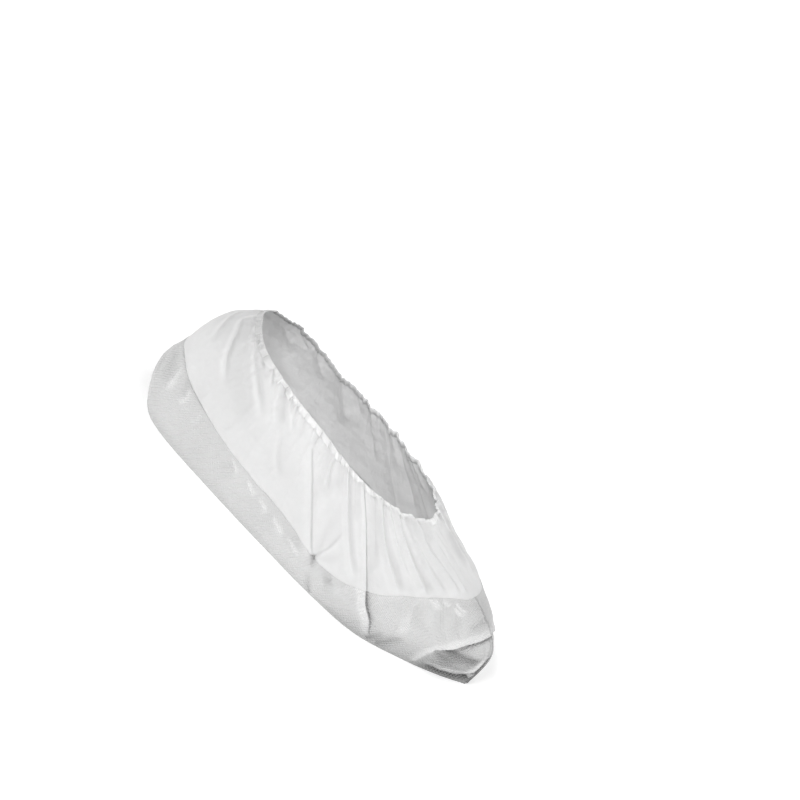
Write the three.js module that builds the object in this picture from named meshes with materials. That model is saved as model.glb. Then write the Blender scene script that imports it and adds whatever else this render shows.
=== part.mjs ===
// A disposable shoe cover in the form it has when it is drawn over a shoe: a white non-woven upper that an
// elastic edge gathers round the foot opening, and an embossed film cup that wraps the sole and the lower wall.
// Millimetres. +X points to the toe, +Y to the far side and +Z up. The origin is on the inner face of the sole,
// where the foot stands. The sole is flat, and each wall is a skin of even thickness laid on one moulded form.
import * as THREE from "three";

// Overall form
const LENGTH = 301; // from the back of the heel to the tip of the sole
const SOLE_WIDTH = 105; // of the flat sole, across the ball of the foot
const HEEL_HEIGHT = 103; // from the floor to the top of the elastic edge at the heel
const INSTEP_HEIGHT = 75; // from the floor to the elastic edge at the front of the opening
const OPENING_SETBACK = 41; // from the back of the heel to the back of the opening
const OPENING_LENGTH = 174;
const OPENING_WIDTH = 71;
const FILM_HEIGHT = 54.5; // from the floor to the film's top edge, where it crosses the toe
const SWELL_HEIGHT = 30; // from the floor to the foremost point of the toe
const SWELL_DEPTH = 8; // the most that the wall swells out past the sole's edge

// Walls and edges
const FABRIC_WALL = 1.4;
const FILM_WALL = 1;
const CLEARANCE = 0.3; // between pieces that are welded together on the real cover
const LAP = 8; // how far the upper reaches down behind the film
const EDGE_HEIGHT = 5.2; // of the rolled casing that holds the elastic
const EDGE_THICKNESS = 3.2;
const SEAM_THICKNESS = 1.4;
const SEAM_DEPTH = 1.8;
const SEAM_KNOT = 0.8; // how much wider the seam's pinched foot is, on each side

// Gathers
const FOLD_DEPTH = 5; // of the deepest fold
const BULGE = 6; // the most that a wall bows out between two rings
const RUFFLE_DEPTH = 1.3;
const RUFFLE_REACH = 9; // how far down the fabric the small ruffles die away
const RUFFLES_A_SIDE = 18;

// How finely the skins are faceted
const STEPS = 4 * RUFFLES_A_SIDE; // along one side, four to a ruffle
const FABRIC_ROWS = 7; // from the film's edge to the rim
const FILM_ROWS = [0, 0.35, 1, 1.6]; // heights on the form, below the lap
const EDGE_SIDES = 6;
const SEAM_STEPS = 12;

// The six rings of the form, from the floor up. A height on the form is a number of rings, such as 3.5.
const [SOLE, SWELL, CAP, FILM, SHOULDER, RIM] = [0, 1, 2, 3, 4, 5];

// One row for each station from the heel round one side to the toe; the other side mirrors it.
// soleX, filmX: share of LENGTH. soleY, filmY: share of half SOLE_WIDTH. swell: share of SWELL_DEPTH.
// swellZ: share of SWELL_HEIGHT. filmZ: share of FILM_HEIGHT. rimX: share of OPENING_LENGTH.
// rimY: share of half OPENING_WIDTH. rimZ: share of the rise from the instep to the heel.
// cap, shoulder: share of BULGE, between swell and film edge, and between film edge and rim.
const STATION_COLUMNS = [
  "place", "soleX", "soleY", "swell", "swellZ", "cap", "filmX", "filmY", "filmZ", "shoulder", "rimX", "rimY", "rimZ",
];
const STATION_ROWS = [
  ["heel", 0.013, 0, 0.86, 0.67, 0.3, 0.017, 0, 0.89, 1.3, 0, 0, 1],
  ["heel_side", 0.057, 0.49, 0.68, 0.63, 0.3, 0.066, 0.51, 0.92, 1.1, 0.046, 0.43, 0.95],
  ["heel_quarter", 0.137, 0.73, 0.44, 0.56, 0.2, 0.149, 0.745, 0.78, 0.8, 0.138, 0.74, 0.78],
  ["ankle", 0.316, 0.87, 0.38, 0.5, 0.1, 0.319, 0.89, 0.61, 0.5, 0.322, 0.88, 0.55],
  ["waist", 0.498, 0.96, 0.34, 0.46, 0.05, 0.486, 0.985, 0.55, 0.35, 0.489, 0.95, 0.43],
  ["ball_back", 0.648, 1, 0.34, 0.46, 0.05, 0.619, 1.02, 0.43, 0.35, 0.626, 1, 0.3],
  ["ball", 0.768, 0.93, 0.34, 0.5, 0.1, 0.73, 0.98, 0.56, 0.25, 0.753, 0.97, 0.18],
  ["ball_front", 0.872, 0.61, 0.6, 0.64, 0.45, 0.817, 0.7, 0.83, 0.15, 0.874, 0.79, 0.09],
  ["toe_side", 0.946, 0.3, 0.9, 0.84, 0.65, 0.872, 0.4, 0.98, 0.15, 0.96, 0.43, 0.02],
  ["toe", 1, 0, 0.2, 1, 0.7, 0.9, 0, 1, 0.15, 1, 0, 0],
];

// The folds that the elastic pulls into the upper. side: -1 near, 1 far. atRim, atFilm: where the fold crosses
// the rim and the film's edge, in stations from the heel. depth: share of FOLD_DEPTH. width: in stations.
// top, bottom: the heights on the form between which it runs, in rings.
const FOLD_COLUMNS = ["side", "atRim", "atFilm", "depth", "width", "top", "bottom"];
const FOLD_ROWS = [
  [-1, 0.9, 1.3, 0.35, 0.34, 5, 3.5],
  [-1, 1.9, 2.3, 0.3, 0.34, 5, 3.4],
  [-1, 3.1, 3.6, 0.4, 0.3, 5, 3.7],
  [-1, 4.2, 4.75, 0.8, 0.26, 5, 2.6],
  [-1, 4.7, 5.3, 0.5, 0.24, 5, 3.3],
  [-1, 5.25, 5.65, 0.6, 0.22, 5, 3.1],
  [-1, 6, 6.15, 1, 0.24, 5, 0.5],
  [-1, 6.45, 6.6, 0.5, 0.2, 5, 3.3],
  [-1, 6.9, 7, 0.6, 0.22, 5, 3.5],
  [-1, 7.4, 7.5, 0.5, 0.22, 5, 3.6],
  [-1, 8, 8, 0.4, 0.22, 5, 3.8],
  [1, 1, 1.3, 0.35, 0.34, 5, 3.5],
  [1, 2.2, 2.5, 0.4, 0.34, 5, 3.4],
  [1, 3.4, 3.8, 0.45, 0.3, 5, 3.4],
  [1, 4.3, 4.7, 0.7, 0.26, 5, 2.8],
  [1, 5, 5.4, 0.55, 0.24, 5, 3.2],
  [1, 5.7, 6, 0.9, 0.24, 5, 1.2],
  [1, 6.4, 6.6, 0.6, 0.22, 5, 3.2],
  [1, 7, 7.1, 0.5, 0.22, 5, 3.4],
  [1, 7.7, 7.75, 0.45, 0.22, 5, 3.7],
];

function namedRows(columns, rows) {
  return rows.map((row) => Object.fromEntries(columns.map((column, i) => [column, row[i]])));
}

const stations = namedRows(STATION_COLUMNS, STATION_ROWS);
const folds = namedRows(FOLD_COLUMNS, FOLD_ROWS);
const LAST = stations.length - 1;

// Catmull-Rom curve through four numbers, between the middle two.
function between(a, b, c, d, t) {
  const tangentB = (c - a) / 2;
  const tangentC = (d - b) / 2;
  const t2 = t * t;
  const t3 = t2 * t;
  return (
    (2 * t3 - 3 * t2 + 1) * b + (t3 - 2 * t2 + t) * tangentB + (3 * t2 - 2 * t3) * c + (t3 - t2) * tangentC
  );
}

function curvePoint(a, b, c, d, t) {
  return new THREE.Vector3(
    between(a.x, b.x, c.x, d.x, t),
    between(a.y, b.y, c.y, d.y, t),
    between(a.z, b.z, c.z, d.z, t),
  );
}

function mirrored(point) {
  return new THREE.Vector3(point.x, -point.y, point.z);
}

// A ring runs past the heel into its mirror image. It runs past the toe the same way if it is round there, and
// straight on if it comes to a point.
function ringPoint(ring, along, pointed) {
  const clamped = Math.min(Math.max(along, 0), LAST);
  const i = Math.min(Math.floor(clamped), LAST - 1);
  const before = i === 0 ? mirrored(ring[1]) : ring[i - 1];
  const straightOn = ring[LAST].clone().multiplyScalar(2).sub(ring[LAST - 1]);
  const past = pointed ? straightOn : mirrored(ring[LAST - 1]);
  const after = i === LAST - 1 ? past : ring[i + 2];
  return curvePoint(before, ring[i], ring[i + 1], after, clamped - i);
}

// The plan direction that points away from the sole at a station.
function outwardAt(soleRing, station) {
  if (station === 0) return new THREE.Vector3(-1, 0, 0);
  if (station === LAST) return new THREE.Vector3(1, 0, 0);
  const along = soleRing[station + 1].clone().sub(soleRing[station - 1]);
  return new THREE.Vector3(-along.y, along.x, 0).normalize();
}

// The middle of a chord, bowed out square to it.
function bowed(lower, upper, outward, bulge) {
  const chord = upper.clone().sub(lower);
  const square = outward.clone().addScaledVector(chord, -outward.dot(chord) / chord.lengthSq()).normalize();
  return lower.clone().add(upper).multiplyScalar(0.5).addScaledVector(square, bulge);
}

function buildRings() {
  const halfSole = SOLE_WIDTH / 2;
  const sole = stations.map((s) => new THREE.Vector3(s.soleX * LENGTH, s.soleY * halfSole, 0));
  const outward = stations.map((_, i) => outwardAt(sole, i));
  const swell = stations.map((s, i) => {
    const point = sole[i].clone().addScaledVector(outward[i], s.swell * SWELL_DEPTH);
    return point.setZ(s.swellZ * SWELL_HEIGHT);
  });
  const film = stations.map(
    (s) => new THREE.Vector3(s.filmX * LENGTH, s.filmY * halfSole, s.filmZ * FILM_HEIGHT),
  );
  const rim = stations.map(
    (s) =>
      new THREE.Vector3(
        OPENING_SETBACK + s.rimX * OPENING_LENGTH,
        (s.rimY * OPENING_WIDTH) / 2,
        INSTEP_HEIGHT + s.rimZ * (HEEL_HEIGHT - INSTEP_HEIGHT),
      ),
  );
  const cap = stations.map((s, i) => bowed(swell[i], film[i], outward[i], s.cap * BULGE));
  const shoulder = stations.map((s, i) => bowed(film[i], rim[i], outward[i], s.shoulder * BULGE));
  return [sole, swell, cap, film, shoulder, rim];
}

const rings = buildRings();
const POINTED_RINGS = SWELL; // the sole and swell rings come to a point at the toe

// A point of the smooth form on the far side: along in stations from the heel, height in rings from the floor.
function smoothPoint(along, height) {
  const i = Math.min(Math.floor(Math.min(height, RIM)), RIM - 1);
  const on = (k) => ringPoint(rings[k], along, k <= POINTED_RINGS);
  const below = i === SOLE ? on(SOLE).multiply(new THREE.Vector3(1, 0.8, 1)) : on(i - 1);
  const above = i === RIM - 1 ? on(RIM).multiplyScalar(2).sub(on(SHOULDER)) : on(i + 2);
  return curvePoint(below, on(i), on(i + 1), above, height - i);
}

function upwardAt(along, height) {
  const STEP = 0.02;
  const low = Math.max(height - STEP, SOLE);
  const high = Math.min(height + STEP, RIM);
  return smoothPoint(along, high).sub(smoothPoint(along, low)).normalize();
}

// The direction square to the smooth form. On the centre line it has no sideways part.
function squareAt(along, height) {
  const STEP = 0.02;
  const forward = smoothPoint(Math.min(along + STEP, LAST), height).sub(
    smoothPoint(Math.max(along - STEP, 0), height),
  );
  if (along <= 0 || along >= LAST) forward.set(0, along <= 0 ? 1 : -1, 0);
  return upwardAt(along, height).cross(forward).normalize();
}

// A sharp valley with a soft ridge beside it. distance is in widths of the fold.
function foldShape(distance) {
  const valley = -Math.pow(Math.max(1 - Math.abs(distance), 0), 1.4);
  const ridge = 0.45 * Math.exp(-Math.pow((distance + 1.5) / 0.7, 2));
  return valley + ridge;
}

function smoothStep(low, high, value) {
  const t = Math.min(Math.max((value - low) / (high - low), 0), 1);
  return t * t * (3 - 2 * t);
}

// How far the gathers move the fabric out of the smooth form.
function gather(side, along, height) {
  let moved = 0;
  for (const fold of folds) {
    if (fold.side !== side) continue;
    const down = (RIM - height) / (RIM - FILM);
    const centre = fold.atRim + (fold.atFilm - fold.atRim) * down;
    const fade = smoothStep(fold.bottom, fold.bottom + 1.2, height) * (1 - 0.35 * smoothStep(4, fold.top, height));
    const widening = 1 + 0.5 * down;
    moved += FOLD_DEPTH * fold.depth * fade * foldShape((along - centre) / (fold.width * widening));
  }
  const fromCentre = smoothStep(0, 0.5, Math.min(along, LAST - along));
  return moved * fromCentre;
}

function ruffle(along, height) {
  const meridian = smoothPoint(along, RIM).distanceTo(smoothPoint(along, SHOULDER));
  const fromRim = (RIM - height) * meridian;
  return (
    RUFFLE_DEPTH * Math.exp(-fromRim / RUFFLE_REACH) * Math.sin((2 * Math.PI * RUFFLES_A_SIDE * along) / LAST)
  );
}

// A point of the gathered form, moved square to it by offset. side: -1 near, 1 far.
function formPoint(side, along, height, offset) {
  const out = offset + gather(side, along, height) + ruffle(along, height);
  const point = smoothPoint(along, height).addScaledVector(squareAt(along, height), out);
  return side < 0 ? mirrored(point) : point;
}

// The points of one closed loop round the form: the near side from heel to toe, then the far side back.
function loop(pointAt) {
  const points = [];
  for (let i = 0; i <= STEPS; i++) points.push(pointAt(-1, (i * LAST) / STEPS));
  for (let i = STEPS - 1; i > 0; i--) points.push(pointAt(1, (i * LAST) / STEPS));
  return points;
}

// Collects loops and faces into one closed mesh.
class Skin {
  constructor() {
    this.positions = [];
    this.index = [];
  }

  addLoop(points) {
    const first = this.positions.length / 3;
    for (const p of points) this.positions.push(p.x, p.y, p.z);
    return { first, count: points.length };
  }

  // Faces that look away from a wall whose loops run from a up to b. Neighbouring skins split their quads along
  // the same diagonal whichever way they run, so that they never cut through each other.
  join(a, b) {
    for (let i = 0; i < a.count; i++) {
      const next = (i + 1) % a.count;
      const [a0, a1, b0, b1] = [a.first + i, a.first + next, b.first + i, b.first + next];
      if (a.first < b.first) this.index.push(a0, a1, b1, a0, b1, b0);
      else this.index.push(a0, a1, b0, a1, b1, b0);
    }
  }

  // A flat floor across a loop, from its near side to its far side.
  floor(ring, lookingUp) {
    const half = ring.count / 2;
    for (let i = 0; i < half; i++) {
      const near = ring.first + i;
      const nearNext = near + 1;
      const far = ring.first + ((ring.count - i) % ring.count);
      const farNext = ring.first + ring.count - i - 1;
      if (i < half - 1) this.face(near, nearNext, farNext, lookingUp);
      if (i > 0) this.face(near, farNext, far, lookingUp);
    }
  }

  face(a, b, c, keepOrder) {
    if (keepOrder) this.index.push(a, b, c);
    else this.index.push(a, c, b);
  }

  geometry() {
    const made = new THREE.BufferGeometry();
    made.setAttribute("position", new THREE.Float32BufferAttribute(this.positions, 3));
    made.setIndex(this.index);
    made.computeVertexNormals();
    return made;
  }
}

// The height that lies a length in millimetres below a ring.
function heightBelow(ring, length, along) {
  return ring - length / smoothPoint(along, ring).distanceTo(smoothPoint(along, ring - 1));
}

// The white upper: an open tube from behind the film to just below the elastic edge.
function makeUpper() {
  const outer = -FILM_WALL - CLEARANCE;
  const inner = outer - FABRIC_WALL;
  const heightAt = (along, row) => {
    if (row < 0) return heightBelow(FILM, LAP, along);
    const high = heightBelow(RIM, EDGE_HEIGHT + CLEARANCE, along);
    return FILM + ((high - FILM) * row) / FABRIC_ROWS;
  };
  const skin = new Skin();
  const wall = (offset) => {
    const loops = [];
    for (let row = -1; row <= FABRIC_ROWS; row++) {
      loops.push(skin.addLoop(loop((side, along) => formPoint(side, along, heightAt(along, row), offset))));
    }
    return loops;
  };
  const chain = [...wall(outer), ...wall(inner).reverse()];
  chain.forEach((ring, i) => skin.join(ring, chain[(i + 1) % chain.length]));
  return skin.geometry();
}

// The film cup: a flat sole with a low wall that stands outside the upper.
function makeSoleFilm() {
  const skin = new Skin();
  const rows = [...FILM_ROWS.map((height) => () => height), (along) => heightBelow(FILM, LAP, along), () => FILM];
  const outerLoops = rows.map((heightAt) =>
    skin.addLoop(loop((side, along) => formPoint(side, along, heightAt(along), 0))),
  );
  const innerLoops = rows.map((heightAt, row) =>
    skin.addLoop(
      loop((side, along) => {
        const point = formPoint(side, along, heightAt(along), -FILM_WALL);
        return point.setZ(row === 0 ? FILM_WALL : Math.max(point.z, FILM_WALL + CLEARANCE));
      }),
    ),
  );
  const chain = [...outerLoops, ...innerLoops.slice().reverse()];
  for (let i = 0; i < chain.length - 1; i++) skin.join(chain[i], chain[i + 1]);
  skin.floor(outerLoops[0], false);
  skin.floor(innerLoops[0], true);
  return skin.geometry();
}

// The rolled casing round the opening, an oval section swept along the gathered rim.
function makeElasticEdge() {
  const middle = -FILM_WALL - CLEARANCE - FABRIC_WALL / 2;
  const skin = new Skin();
  const loops = [];
  for (let k = 0; k < EDGE_SIDES; k++) {
    const turn = (2 * Math.PI * k) / EDGE_SIDES;
    const up = (Math.cos(turn) - 1) * (EDGE_HEIGHT / 2);
    const out = middle + Math.sin(turn) * (EDGE_THICKNESS / 2);
    loops.push(
      skin.addLoop(
        loop((side, along) => {
          const upward = upwardAt(along, RIM).multiplyScalar(up);
          return formPoint(side, along, RIM, out).add(side < 0 ? mirrored(upward) : upward);
        }),
      ),
    );
  }
  loops.forEach((ring, k) => skin.join(loops[(k + 1) % EDGE_SIDES], ring));
  return skin.geometry();
}

// The weld that closes the film at the toe: a thin fin that ends in a pinched foot at the tip of the sole.
function makeToeSeam() {
  const skin = new Skin();
  const loops = [];
  for (let i = 0; i <= SEAM_STEPS; i++) {
    const height = 0.12 + ((FILM - 0.12) * i) / SEAM_STEPS;
    const foot = Math.exp(-Math.pow(height / 0.35, 2));
    const half = SEAM_THICKNESS / 2 + SEAM_KNOT * foot;
    const root = smoothPoint(LAST, height);
    const square = squareAt(LAST, height);
    const near = root.clone().addScaledVector(square, CLEARANCE);
    const far = root.clone().addScaledVector(square, CLEARANCE + SEAM_DEPTH * (1 - 0.3 * foot));
    const corners = [near, far, far, near].map((corner, k) => corner.clone().setY(k < 2 ? -half : half));
    corners.forEach((corner) => corner.setZ(Math.max(corner.z, 0)));
    loops.push(skin.addLoop(corners));
  }
  for (let i = 0; i < SEAM_STEPS; i++) skin.join(loops[i], loops[i + 1]);
  const [bottom, top] = [loops[0].first, loops[SEAM_STEPS].first];
  skin.index.push(bottom, bottom + 2, bottom + 1, bottom, bottom + 3, bottom + 2);
  skin.index.push(top, top + 1, top + 2, top, top + 2, top + 3);
  return skin.geometry();
}

function named(name, geometry, color, roughness) {
  const mesh = new THREE.Mesh(geometry, new THREE.MeshStandardMaterial({ color, roughness, metalness: 0 }));
  mesh.name = name;
  return mesh;
}

const shoeCover = new THREE.Group();
shoeCover.add(named("upper", makeUpper(), 0xf1f1f2, 0.9));
shoeCover.add(named("sole_film", makeSoleFilm(), 0xd6d7d8, 0.45));
shoeCover.add(named("elastic_edge", makeElasticEdge(), 0xeeeef2, 0.9));
shoeCover.add(named("toe_seam", makeToeSeam(), 0xb9babb, 0.45));
shoeCover.position.set(-LENGTH / 2, 0, -FILM_WALL);

const part = new THREE.Group();
part.add(shoeCover);

export default part;
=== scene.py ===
"""A disposable shoe cover in the form it has over a shoe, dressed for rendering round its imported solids.

Every skin is laid on the same moulded form as the solids: a few stations from heel to toe, each with a point
on six rings from the floor up to the foot opening. The gathers, creases and crumples are added here, as moves
square to that form, so the cloth and the film stay nested wherever they lie on each other.
"""

import logging
import math
from dataclasses import dataclass, field
from enum import Enum

import bpy
import numpy as np
from mathutils import Matrix, Vector


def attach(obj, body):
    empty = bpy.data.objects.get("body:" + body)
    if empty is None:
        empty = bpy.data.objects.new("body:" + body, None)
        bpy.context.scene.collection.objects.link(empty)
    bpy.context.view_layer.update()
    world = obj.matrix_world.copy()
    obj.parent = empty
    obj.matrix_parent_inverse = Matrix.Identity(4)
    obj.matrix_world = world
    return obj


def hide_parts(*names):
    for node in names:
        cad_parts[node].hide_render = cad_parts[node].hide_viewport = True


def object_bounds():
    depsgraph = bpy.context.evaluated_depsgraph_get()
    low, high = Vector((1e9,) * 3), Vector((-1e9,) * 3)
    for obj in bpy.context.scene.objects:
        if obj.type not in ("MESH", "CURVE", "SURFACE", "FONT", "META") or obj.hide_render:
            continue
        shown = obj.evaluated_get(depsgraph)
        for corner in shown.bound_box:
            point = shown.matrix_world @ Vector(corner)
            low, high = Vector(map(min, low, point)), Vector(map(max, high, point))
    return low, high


log = logging.getLogger("shoe_cover")

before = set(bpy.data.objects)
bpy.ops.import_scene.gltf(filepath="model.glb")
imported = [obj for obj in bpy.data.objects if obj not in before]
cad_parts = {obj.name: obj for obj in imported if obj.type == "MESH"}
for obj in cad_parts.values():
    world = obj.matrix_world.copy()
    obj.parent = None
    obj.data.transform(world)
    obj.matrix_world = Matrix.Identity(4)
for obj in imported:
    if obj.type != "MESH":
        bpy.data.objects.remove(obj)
CAD_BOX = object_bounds()

MM = 0.001
SHARP_ANGLE = math.radians(70.0)
BODY = "root"
# The mesh attribute that carries the painted light and shade of the creases, gathers and pinches.
PAINTED_SHADING = "tone"
LATTICE_VALUES = 4096
LATTICE_PRIMES = (73856093, 19349663, 83492791)
RIM_SAMPLES = 361
RING_SAMPLES = 1801

Triple = tuple[float, float, float]


class Ring(Enum):
    """The six rings of the form, from the floor up. Heights on the form are counted in rings."""

    SOLE = 0
    SWELL = 1
    CAP = 2
    FILM = 3
    SHOULDER = 4
    RIM = 5


class Side(Enum):
    """The two sides of the cover. The value is the sign of Y."""

    NEAR = -1
    FAR = 1


@dataclass(frozen=True)
class Station:
    """One place between heel and toe, as shares of the form's own sizes."""

    sole_x: float
    sole_y: float
    swell: float
    swell_z: float
    cap: float
    film_x: float
    film_y: float
    film_z: float
    shoulder: float
    rim_x: float
    rim_y: float
    rim_z: float


STATIONS = (
    Station(0.013, 0, 0.86, 0.67, 0.3, 0.017, 0, 0.89, 1.3, 0, 0, 1),
    Station(0.057, 0.49, 0.68, 0.63, 0.3, 0.066, 0.51, 0.92, 1.1, 0.046, 0.43, 0.95),
    Station(0.137, 0.73, 0.44, 0.56, 0.2, 0.149, 0.745, 0.78, 0.8, 0.138, 0.74, 0.78),
    Station(0.316, 0.87, 0.38, 0.5, 0.1, 0.319, 0.89, 0.61, 0.5, 0.322, 0.88, 0.55),
    Station(0.498, 0.96, 0.34, 0.46, 0.05, 0.486, 0.985, 0.55, 0.35, 0.489, 0.95, 0.43),
    Station(0.648, 1, 0.34, 0.46, 0.05, 0.619, 1.02, 0.43, 0.35, 0.626, 1, 0.3),
    Station(0.768, 0.93, 0.34, 0.5, 0.1, 0.73, 0.98, 0.56, 0.25, 0.753, 0.97, 0.18),
    Station(0.872, 0.61, 0.6, 0.64, 0.45, 0.817, 0.7, 0.83, 0.15, 0.874, 0.79, 0.09),
    Station(0.946, 0.3, 0.9, 0.84, 0.65, 0.872, 0.4, 0.98, 0.15, 0.96, 0.43, 0.02),
    Station(1, 0, 0.2, 1, 0.7, 0.9, 0, 1, 0.15, 1, 0, 0),
)
LAST = len(STATIONS) - 1
RIM_HEIGHT = float(Ring.RIM.value)


class CreaseShape(Enum):
    """How the cloth lies across a crease."""

    VALLEY = "valley"
    RIDGE = "ridge"
    TUCK = "tuck"
    PLEAT = "pleat"
    GLINT = "glint"


@dataclass(frozen=True)
class Crease:
    """A fold line drawn on the form.

    path holds (along, height) points in stations and rings. A tuck steps down sharply on its toe side, or on
    its upper side where the path runs to the toe, and a pleat does so more softly. A glint is a ridge whose
    embossed crest gets a painted highlight. depth and width are in millimetres, and fade_in and
    fade_out are shares of the length. flare is how much wider the crease ends than it starts, and edge is
    half the breadth of a tuck's step, both as shares of its width.
    """

    side: Side
    path: tuple[tuple[float, float], ...]
    depth: float
    width: float
    shape: CreaseShape = CreaseShape.VALLEY
    fade_in: float = 0.0
    fade_out: float = 0.3
    flare: float = 0.6
    edge: float = 0.13


NEAR, FAR = Side.NEAR, Side.FAR
VALLEY, RIDGE, TUCK, PLEAT, GLINT = CreaseShape


def creases(side: Side, *rows: tuple) -> tuple[Crease, ...]:
    """The fold lines of one side. A row holds what Crease takes after the side, in the same order."""
    return tuple(Crease(side, *row) for row in rows)


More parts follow.
